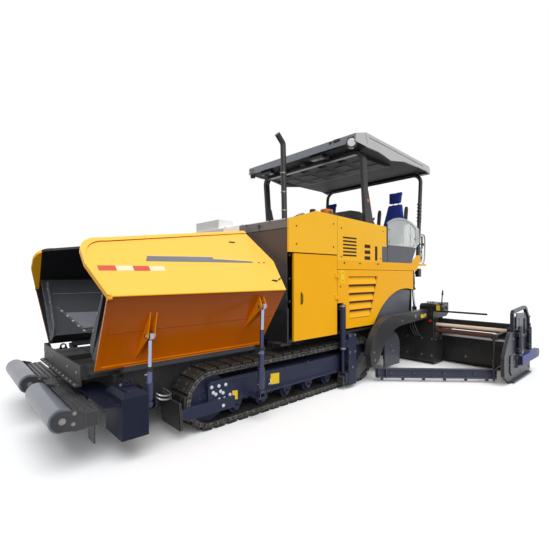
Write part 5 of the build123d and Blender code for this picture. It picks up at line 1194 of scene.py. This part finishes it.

# Canopy: moulded light grey roof with a blue-grey front band, a raised panel on each side with a groove round
# it drawn as a dark line of painted shade, a black moulded headliner, and work lamps in black oval housings
# at the corners. The posts and the exhaust are black tubes.
roof_grey = enamel("roof_grey", (0.52, 0.525, 0.52), (0.45, 0.455, 0.455), 0.36, wear=0.15, soil=0.15,
                   coat=0.2)
where, facing = spot_of(roof_grey)
tinged(roof_grey, facing["X"], 0.35, 0.5, (0.22, 0.23, 0.27))
tinged(roof_grey, facing["Z"], -0.25, -0.35, (0.012, 0.012, 0.013))
dress(roof_grey, "canopy_roof")
dress(enamel("headliner_black", (0.008, 0.008, 0.009), (0.005, 0.005, 0.006), 0.6, wear=0.05, soil=0.2,
             peel=1.4), "canopy_headliner")
post_black = enamel("post_black", (0.030, 0.028, 0.030), (0.020, 0.019, 0.020), 0.32, wear=0.3, soil=0.1,
                    coat=0.12)
dress(post_black, "canopy_posts", "exhaust_pipe")
ROOF_SIDE = (1.2848, 1.2862)
lamp_white = enamel("lamp_lens", (0.80, 0.82, 0.82), (0.68, 0.70, 0.70), 0.12, wear=0, soil=0.05, coat=0.8)
for side, m in SIDES:
    # painted shade: the groove round the raised panel is a dark strip
    bm = bmesh.new()
    groove = [(-0.80, 3.792), (-1.70, 3.750), (-2.60, 3.704), (-2.60, 3.676), (-2.592, 3.676),
              (-2.592, 3.696), (-1.70, 3.742), (-0.80, 3.784)]
    prism(bm, groove, on_side(m), *ROOF_SIDE)
    prism(bm, [(-0.70, 3.835), (-0.76, 3.68), (-0.754, 3.68), (-0.694, 3.835)], on_side(m), *ROOF_SIDE)
    piece(f"roof_groove_{side}", bm, dark_gap, "tractor")
    bm = bmesh.new()
    turned(bm, (-0.50, m * 1.170, 3.655), (-0.425, m * 1.222, 3.640), 0.084, 32, 0.078, 0.004)
    block(bm, (-0.50, m * 1.12, 3.640), (-0.442, m * 1.262, 3.745), 0.02)
    block(bm, (-2.86, m * 1.10, 3.60), (-2.80, m * 1.24, 3.66), 0.015)
    piece(f"lamp_housing_{side}", bm, tube_black, "tractor")
    bm = bmesh.new()
    turned(bm, (-0.4255, m * 1.2216, 3.6402), (-0.4210, m * 1.2248, 3.6392), 0.062, 32, 0.056, 0.0008)
    piece(f"work_lamp_{side}", bm, lamp_white, "tractor")
bm = bmesh.new()
for x in (-1.05, -1.40, -1.75):
    for y in (-0.86, -0.43, 0.0, 0.43, 0.86):
        block(bm, (x, y - 0.14, 3.588), (x + 0.24, y + 0.14, 3.602), 0.01)
for y in (-0.55, 0.0, 0.55):
    turned(bm, (-0.66, y, 3.60), (-0.66, y, 3.642), 0.05, 24, 0.06, 0.006)
piece("headliner_panels", bm, moulded_black, "tractor")
bm = bmesh.new()
block(bm, (-0.62, -0.98, 3.585), (-0.50, -0.70, 3.642), 0.012)
block(bm, (-0.62, 0.30, 3.585), (-0.50, 0.58, 3.642), 0.012)
block(bm, (-0.462, 0.86, 3.725), (-0.435, 0.99, 3.775), 0.008)
turned(bm, (-0.45, 0.80, 3.745), (-0.435, 0.80, 3.745), 0.026, 18, 0.02)
piece("roof_front_fixtures", bm, tube_black, "tractor")
bm = bmesh.new()
block(bm, (-0.935, 1.150, 2.80), (-0.885, 1.200, 2.86), 0.010)
turned(bm, (-0.876, 1.165, 2.845), (-0.850, 1.165, 2.845), 0.030, 20, 0.022, 0.006)
piece("hoop_marker_lamp", bm, orange_plastic, "tractor")
bm = bmesh.new()
for side, m in SIDES:
    turned(bm, (-0.823, m * 1.181, 2.60), (-0.788, m * 1.181, 3.20), 0.006, 10)
    bolt_heads(bm, [(x, m * 1.155, z) for x, z in ((-0.84, 2.485), (-0.96, 2.482), (-1.02, 2.479))],
               (0, 0, 1), 0.011, 0.008)
piece("hoop_cable_and_bolts", bm, tube_black, "tractor")
bm = bmesh.new()
for z in (2.66, 2.95, 3.25):
    x = 0.09 + 0.045 * (z - 2.48) / 1.12
    turned(bm, (x, 0.30, z), (x, 0.30, z + 0.018), 0.0485, 24)
piece("exhaust_clamps", bm, zinc, "tractor")

# Tow guides, arms and augers: navy slide channels with a levelling cylinder, and gooseneck arms in black with
# a blank yellow sticker. The worn steel augers turn behind round-topped grey guards with a centre bolt.
arm_black = enamel("arm_black", (0.036, 0.037, 0.041), (0.025, 0.026, 0.029), 0.36, wear=0.5, soil=0.3,
                   coat=0.2, bare=(0.16, 0.155, 0.15))
dress(arm_black, "tow_arms")
dress(navy_enamel, "tow_guides")
flight_steel = enamel("auger_steel", (0.10, 0.095, 0.09), (0.05, 0.047, 0.045), 0.42, wear=1.0, soil=0.5,
                      metal=0.7, bare=(0.40, 0.39, 0.38))
dress(flight_steel, "auger_left", "auger_right")
ARM_SIDE, GUARD_SIDE, AUGER_X, AUGER_Z = 1.440, 1.285, -1.51, 0.345
GUARD_REAR, GUARD_FRONT, SHOULDER = -1.735, -1.255, 0.455
guard_grey = enamel("guard_blue_grey", (0.060, 0.066, 0.090), (0.042, 0.046, 0.064), 0.38, wear=0.5, soil=0.3,
                    coat=0.2)
for side, m in SIDES:
    bm = bmesh.new()
    side_bolts(bm, m, 1.360, ((-0.20, 0.76), (-0.32, 0.76), (-0.20, 0.52), (-0.32, 0.52), (-0.26, 0.30)),
               0.014, 0.010)
    for z in (0.575, 1.18):
        turned(bm, (-0.11, m * 1.298, z), (-0.11, m * 1.298, z + 0.022), 0.049, 24, None, 0.003)
    piece(f"tow_guide_fittings_{side}", bm, zinc, "tractor")
    bm = bmesh.new()
    side_bolts(bm, m, ARM_SIDE, ((-0.72, 0.34), (-0.70, 0.46), (-2.30, 0.93), (-2.36, 0.88), (-1.55, 0.87)),
               0.016, 0.011)
    turned(bm, (-2.02, m * 1.4395, 0.905), (-2.02, m * 1.450, 0.905), 0.040, 24, 0.034, 0.003)
    piece(f"arm_bolts_{side}", bm, zinc, "screed")
    bm = bmesh.new()
    prism(bm, [(-2.20, 0.865), (-2.40, 0.868), (-2.40, 0.935), (-2.20, 0.930)], on_side(m), 1.4402, 1.4416)
    piece(f"arm_sticker_{side}", bm, label_yellow, "screed")
    guard = [(GUARD_REAR, SHOULDER), (GUARD_REAR, 0.115), (GUARD_FRONT, 0.115), (GUARD_FRONT, SHOULDER)]
    guard += arc_points((GUARD_FRONT, SHOULDER), (-1.495, 0.675), (GUARD_REAR, SHOULDER), 18)[1:-1]
    bm = bmesh.new()
    prism(bm, guard, on_side(m), 1.2822, 1.2850, 0.001)
    piece(f"auger_guard_{side}", bm, guard_grey, "tractor")
    bm = bmesh.new()
    side_bolts(bm, m, GUARD_SIDE, [(AUGER_X, AUGER_Z)], 0.024, 0.016)
    ring = [(AUGER_X + 0.13 * cos(tau * k / 6), m * GUARD_SIDE, AUGER_Z + 0.13 * sin(tau * k / 6))
            for k in range(6)]
    bolt_heads(bm, ring, (0, m, 0), 0.012)
    piece(f"auger_guard_bolts_{side}", bm, zinc, "tractor")

# Main screed: black welded boxes with a ribbed walkway. Each tower has a control box with a lever, a red
# stop button, a blank yellow label and a hand rail, and black pipes loop down to the heated pan.
TOWER_FRONT, TOWER_SIDE, BEAM_FRONT = -2.462, 1.545, -2.4598
screed_black = enamel("screed_black", (0.013, 0.013, 0.015), (0.008, 0.008, 0.009), 0.36, wear=0.6, soil=0.3,
                      coat=0.1, bare=(0.13, 0.13, 0.13))
dress(screed_black, "screed_main")
for side, m in SIDES:
    bm = bmesh.new()
    block(bm, (-2.72, m * TOWER_SIDE, 0.985), (-2.475, m * 1.70, 1.10), 0.012)
    block(bm, (-2.66, m * 1.60, 1.095), (-2.56, m * 1.68, 1.125), 0.010)
    block(bm, (-2.4605, m * 1.32, 0.90), (-2.454, m * 1.52, 1.05), 0.003)
    for k in range(5):
        y = 1.355 + 0.030 * k
        turned(bm, (-2.64, m * y, 1.108), (-2.64, m * y, 1.150), 0.007, 10, 0.009, 0.002)
    turned(bm, (-2.60, m * 1.64, 1.12), (-2.595, m * 1.655, 1.30), 0.011, 12)
    turned(bm, (-2.595, m * 1.655, 1.27), (-2.590, m * 1.662, 1.36), 0.019, 14, 0.012, 0.004)
    turned(bm, (-2.560, m * TOWER_SIDE, 0.980), (-2.560, m * 2.41, 0.980), 0.017, 16, None, 0.005)
    turned(bm, (-2.66, m * 1.70, 1.04), (-2.66, m * 1.725, 1.04), 0.030, 18, 0.024, 0.004)
    turned(bm, (-2.53, m * 1.70, 1.03), (-2.53, m * 1.722, 1.03), 0.024, 18, 0.020, 0.004)
    for k in range(14):
        x = -3.47 + 0.04 * k
        block(bm, (x, 0, 0.589), (x + 0.012, m * 1.48, 0.594), 0)
    piece(f"tower_controls_{side}", bm, tube_black, "screed")
    bm = bmesh.new()
    bolt_heads(bm, [(BEAM_FRONT, m * y, z) for y in (1.05, 1.33, 1.52) for z in (0.17, 0.47)], (1, 0, 0),
               0.014)
    bolt_heads(bm, [(BEAM_FRONT, m * y, 0.83) for y in (0.20, 0.60, 1.00)], (1, 0, 0), 0.014)
    bolt_heads(bm, [(x, m * 1.5505, 0.45) for x in (-2.55, -2.78)], (0, m, 0), 0.014)
    piece(f"screed_bolts_{side}", bm, zinc, "screed")
    bm = bmesh.new()
    prism(bm, oblong(1.595, 0.998, 1.665, 1.088), lambda a, b, d: (d, m * a, b), -2.4755, -2.4735)
    piece(f"tower_label_{side}", bm, label_yellow, "screed")
    bm = bmesh.new()
    turned(bm, (TOWER_FRONT, m * 1.50, 0.80), (-2.435, m * 1.50, 0.80), 0.020, 20, 0.026, 0.003)
    piece(f"tower_stop_{side}", bm, switch_red, "screed")
    for k in range(3):
        y, z = 1.10 + 0.05 * k, 0.78 - 0.02 * k
        hard_pipe(f"pan_pipe_{k}_{side}", [(TOWER_FRONT, y, z), (-2.43, y, z), (-2.405, y + 0.02, 0.72),
                                           (-2.405, y + 0.06, 0.60), (-2.42, y + 0.10, 0.52),
                                           (TOWER_FRONT, y + 0.12, 0.50)], 0.011, "screed", tube_black,
                  m)

# Extensions: black sliding screeds on chrome guide tubes whose look is painted in: brown all round, a painted
# reflection of the ground and painted shade, and cream on the upper tube's top, a painted reflection of the
# sky.
# Each carries a knuckle and a light stay for its spreader plate.
TUBE_X, TUBE_REACH, TUBE_END = -2.610, 0.0445, 2.749
SPREAD_POST = (-2.06, 2.66)
for side, m in SIDES:
    sliding_black = enamel(f"sliding_screed_black_{side}", (0.013, 0.013, 0.015), (0.008, 0.008, 0.009), 0.36,
                           wear=0.6, soil=0.3, coat=0.1, bare=(0.13, 0.13, 0.13))
    where, facing = spot_of(sliding_black)

    def band(value, low, high):
        """1 between two values, fading over a millimetre beyond them."""
        return joined(sliding_black, mask_of(sliding_black, value, low - 0.001, low),
                      mask_of(sliding_black, value, high + 0.001, high))

    # painted reflection of the ground and painted shade: the guide tubes are brown all round
    tubes = joined(sliding_black, band(where["X"], TUBE_X - TUBE_REACH, TUBE_X + TUBE_REACH),
                   band(where["Z"], 0.580, 0.7655))
    tubes = joined(sliding_black, tubes, mask_of(sliding_black, where["Y"], m * (TUBE_END + 0.001),
                                                 m * TUBE_END))
    over(sliding_black, tubes, (0.110, 0.042, 0.030))
    # painted reflection of the sky: the upper tube is cream above its middle, where it doesn't look down
    plated = joined(sliding_black, mask_of(sliding_black, where["Z"], 0.670, 0.674),
                    mask_of(sliding_black, facing["Z"], -0.45, 0.05))
    over(sliding_black, joined(sliding_black, tubes, plated), (0.76, 0.60, 0.47))
    dress(sliding_black, f"screed_extension_{side}")
    bm = bmesh.new()
    block(bm, (-2.662, m * 2.700, 0.600), (-2.530, m * 2.751, 0.790), 0.01)
    block(bm, (-2.095, m * 2.640, 0.655), (-2.025, m * 2.715, 0.735), 0.008)
    post = SPREAD_POST[0], m * SPREAD_POST[1]
    turned(bm, (*post, 0.22), (*post, 0.66), 0.0185, 20)
    for k in range(3):
        block(bm, (-2.892, m * (1.75 + 0.33 * k), 0.40), (-2.884, m * (2.02 + 0.33 * k), 0.47), 0.003)
    piece(f"extension_fittings_{side}", bm, tube_black, f"extension_{side}")
    bm = bmesh.new()
    bolt_heads(bm, [(-2.888, m * y, 0.16) for y in (1.50, 1.95, 2.40, 2.66)], (1, 0, 0), 0.014)
    side_bolts(bm, m, 2.8005, ((-2.62, 0.88), (-3.10, 0.88)), 0.012)
    turned(bm, (*post, 0.718), (*post, 0.745), 0.024, 18, 0.018, 0.003)
    piece(f"extension_bolts_{side}", bm, zinc, f"extension_{side}")
    hard_pipe(f"spreader_stay_{side}", [(-2.10, 2.69, 0.215), (-2.16, 2.70, 0.225), (-2.35, 2.76, 0.28),
                                        (-2.55, 2.87, 0.35), (-2.70, 2.872, 0.39), (-2.76, 2.868, 0.415)],
              0.010, f"extension_{side}", pipe_steel, m)

# End gates: navy-black plates that float on a sledge foot, hung on spindles in housings behind a grey
# bolted panel. A bent tube guards the top, and the box of the height drive outside is blue.
GATE_SIDE, PANEL_SIDE, SLOT_Y, SPINDLES_X = 2.850, 2.822, (2.8225, 2.824), (-2.50, -3.06)
gate_black = enamel("gate_navy_black", (0.013, 0.016, 0.030), (0.007, 0.009, 0.018), 0.32, wear=0.9, soil=0.3,
                    coat=0.12, bare=(0.22, 0.23, 0.27))
drive_blue = enamel("drive_blue", (0.010, 0.030, 0.21), (0.007, 0.020, 0.14), 0.35, wear=0.4, soil=0.2)
panel_grey = enamel("gate_panel_grey", (0.15, 0.16, 0.21), (0.10, 0.11, 0.15), 0.38, wear=0.4, soil=0.2,
                    coat=0.2)
dress(gate_black, "end_gate_left", "end_gate_right")
for side, m in SIDES:
    def gate(x, z, proud):
        """A place on the gate's outer face."""
        return (x, m * (GATE_SIDE + proud), z)

    bm = bmesh.new()
    prism(bm, oblong(-2.42, 0.20, -3.22, 0.225), gate, -0.002, 0.030, 0.004)
    prism(bm, oblong(-2.20, 0.010, -3.16, 0.035), gate, -0.002, 0.045, 0.006)
    for x in SPINDLES_X:
        turned(bm, gate(x, 0.40, 0.035), gate(x, 0.78, 0.035), 0.034, 22, None, 0.004)
        turned(bm, gate(x, 0.76, 0.035), gate(x, 0.84, 0.035), 0.020, 16)
        prism(bm, oblong(x - 0.06, 0.44, x + 0.06, 0.50), gate, -0.002, 0.052, 0.006)
        prism(bm, oblong(x - 0.06, 0.68, x + 0.06, 0.74), gate, -0.002, 0.052, 0.006)
    prism(bm, [(-2.12, 0.18), (-2.19, 0.12), (-2.25, 0.12), (-2.25, 0.42), (-2.12, 0.42)], gate, -0.002,
          0.016, 0.004)
    piece(f"gate_spindles_{side}", bm, gate_black, f"extension_{side}")
    bm = bmesh.new()
    prism(bm, [(-2.60, 0.60), (-3.20, 0.60), (-3.20, 0.90), (-3.10, 1.01), (-2.60, 1.03)], on_side(m), 2.806,
          PANEL_SIDE, 0.004)
    piece(f"gate_panel_{side}", bm, panel_grey, f"extension_{side}")
    bm = bmesh.new()
    prism(bm, oblong(-2.72, 0.70, -2.86, 0.80), on_side(m), *SLOT_Y)
    prism(bm, oblong(-2.96, 0.66, -3.06, 0.92), on_side(m), *SLOT_Y)
    piece(f"gate_panel_slots_{side}", bm, dark_gap, f"extension_{side}")
    bm = bmesh.new()
    prism(bm, oblong(-2.535, 0.2295, -3.36, 0.3705), gate, 0.0, 0.0712, 0.004)
    piece(f"gate_drive_box_{side}", bm, drive_blue, f"extension_{side}")
    bm = bmesh.new()
    bolt_heads(bm, [gate(x, z, 0.0) for x, z in ((-2.04, 0.30), (-2.04, 0.40), (-2.34, 0.30), (-2.34, 0.42),
                                                 (-2.14, 0.08), (-2.30, 0.66), (-2.62, 0.66), (-3.18, 0.45),
                                                 (-3.18, 0.10), (-2.70, 0.10))], (0, m, 0), 0.015, 0.010)
    side_bolts(bm, m, PANEL_SIDE, ((-2.66, 0.98), (-3.06, 0.96), (-2.66, 0.65), (-3.16, 0.64)), 0.010, 0.007)
    for x in SPINDLES_X:
        turned(bm, gate(x, 0.84, 0.035), gate(x, 0.95, 0.035), 0.011, 14)
        turned(bm, gate(x, 0.944, 0.035), gate(x, 0.962, 0.035), 0.020, 6)
    turned(bm, gate(-3.45, 0.30, 0.035), gate(-3.50, 0.30, 0.035), 0.020, 16)
    piece(f"gate_bolts_{side}", bm, zinc, f"extension_{side}")

# Spreader plates and screed lift: navy channels whose upward faces turn a paler grey, held by hexagon bolts.
# The lift cylinders have navy-black barrels and chromed rods.
spreader_navy = enamel("spreader_navy", (0.024, 0.029, 0.066), (0.014, 0.018, 0.045), 0.34, wear=0.7,
                       soil=0.25, coat=0.1, bare=(0.20, 0.21, 0.26))
where, facing = spot_of(spreader_navy)
# upward faces are a paler grey
tinged(spreader_navy, facing["Z"], 0.6, 0.9, (0.085, 0.087, 0.108))
dress(spreader_navy, "spreader_plate_left", "spreader_plate_right")
lift_black = enamel("lift_barrel_black", (0.020, 0.022, 0.032), (0.013, 0.014, 0.021), 0.30, wear=0.3,
                    soil=0.2, coat=0.4)
lift_chrome = enamel("lift_rod_chrome", (0.66, 0.67, 0.69), (0.58, 0.59, 0.61), 0.14, wear=0, soil=0.05,
                     peel=0, metal=1.0)
SLANT = 0.7071
LIFT_EYE, LIFT_RUN = (-2.38, 1.172, 1.765), (-0.11, 0, -0.755)
for side, m in SIDES:
    dress(lift_black, f"lift_barrel_{side}")
    dress(lift_chrome, f"lift_rod_{side}")
    along_plate, face = Vector((SLANT, -SLANT * m, 0)), Vector((SLANT, SLANT * m, 0))
    bm = bmesh.new()
    for d in (0.30, 0.75, 1.20, 1.55):
        at = Vector((SPREAD_POST[0], m * SPREAD_POST[1], 0.135)) + along_plate * d + face * 0.0255
        bolt_heads(bm, [at], face, 0.012, 0.008)
    piece(f"spreader_bolts_{side}", bm, spreader_navy, f"spreader_{side}")
    bm = bmesh.new()
    down = Vector(LIFT_RUN).normalized()
    at = Vector((LIFT_EYE[0], m * LIFT_EYE[1], LIFT_EYE[2])) + down * 0.405
    turned(bm, at - down * 0.03, at + down * 0.004, 0.050, 24, None, 0.003)
    piece(f"lift_gland_{side}", bm, tube_black, f"lift_barrel_{side}")
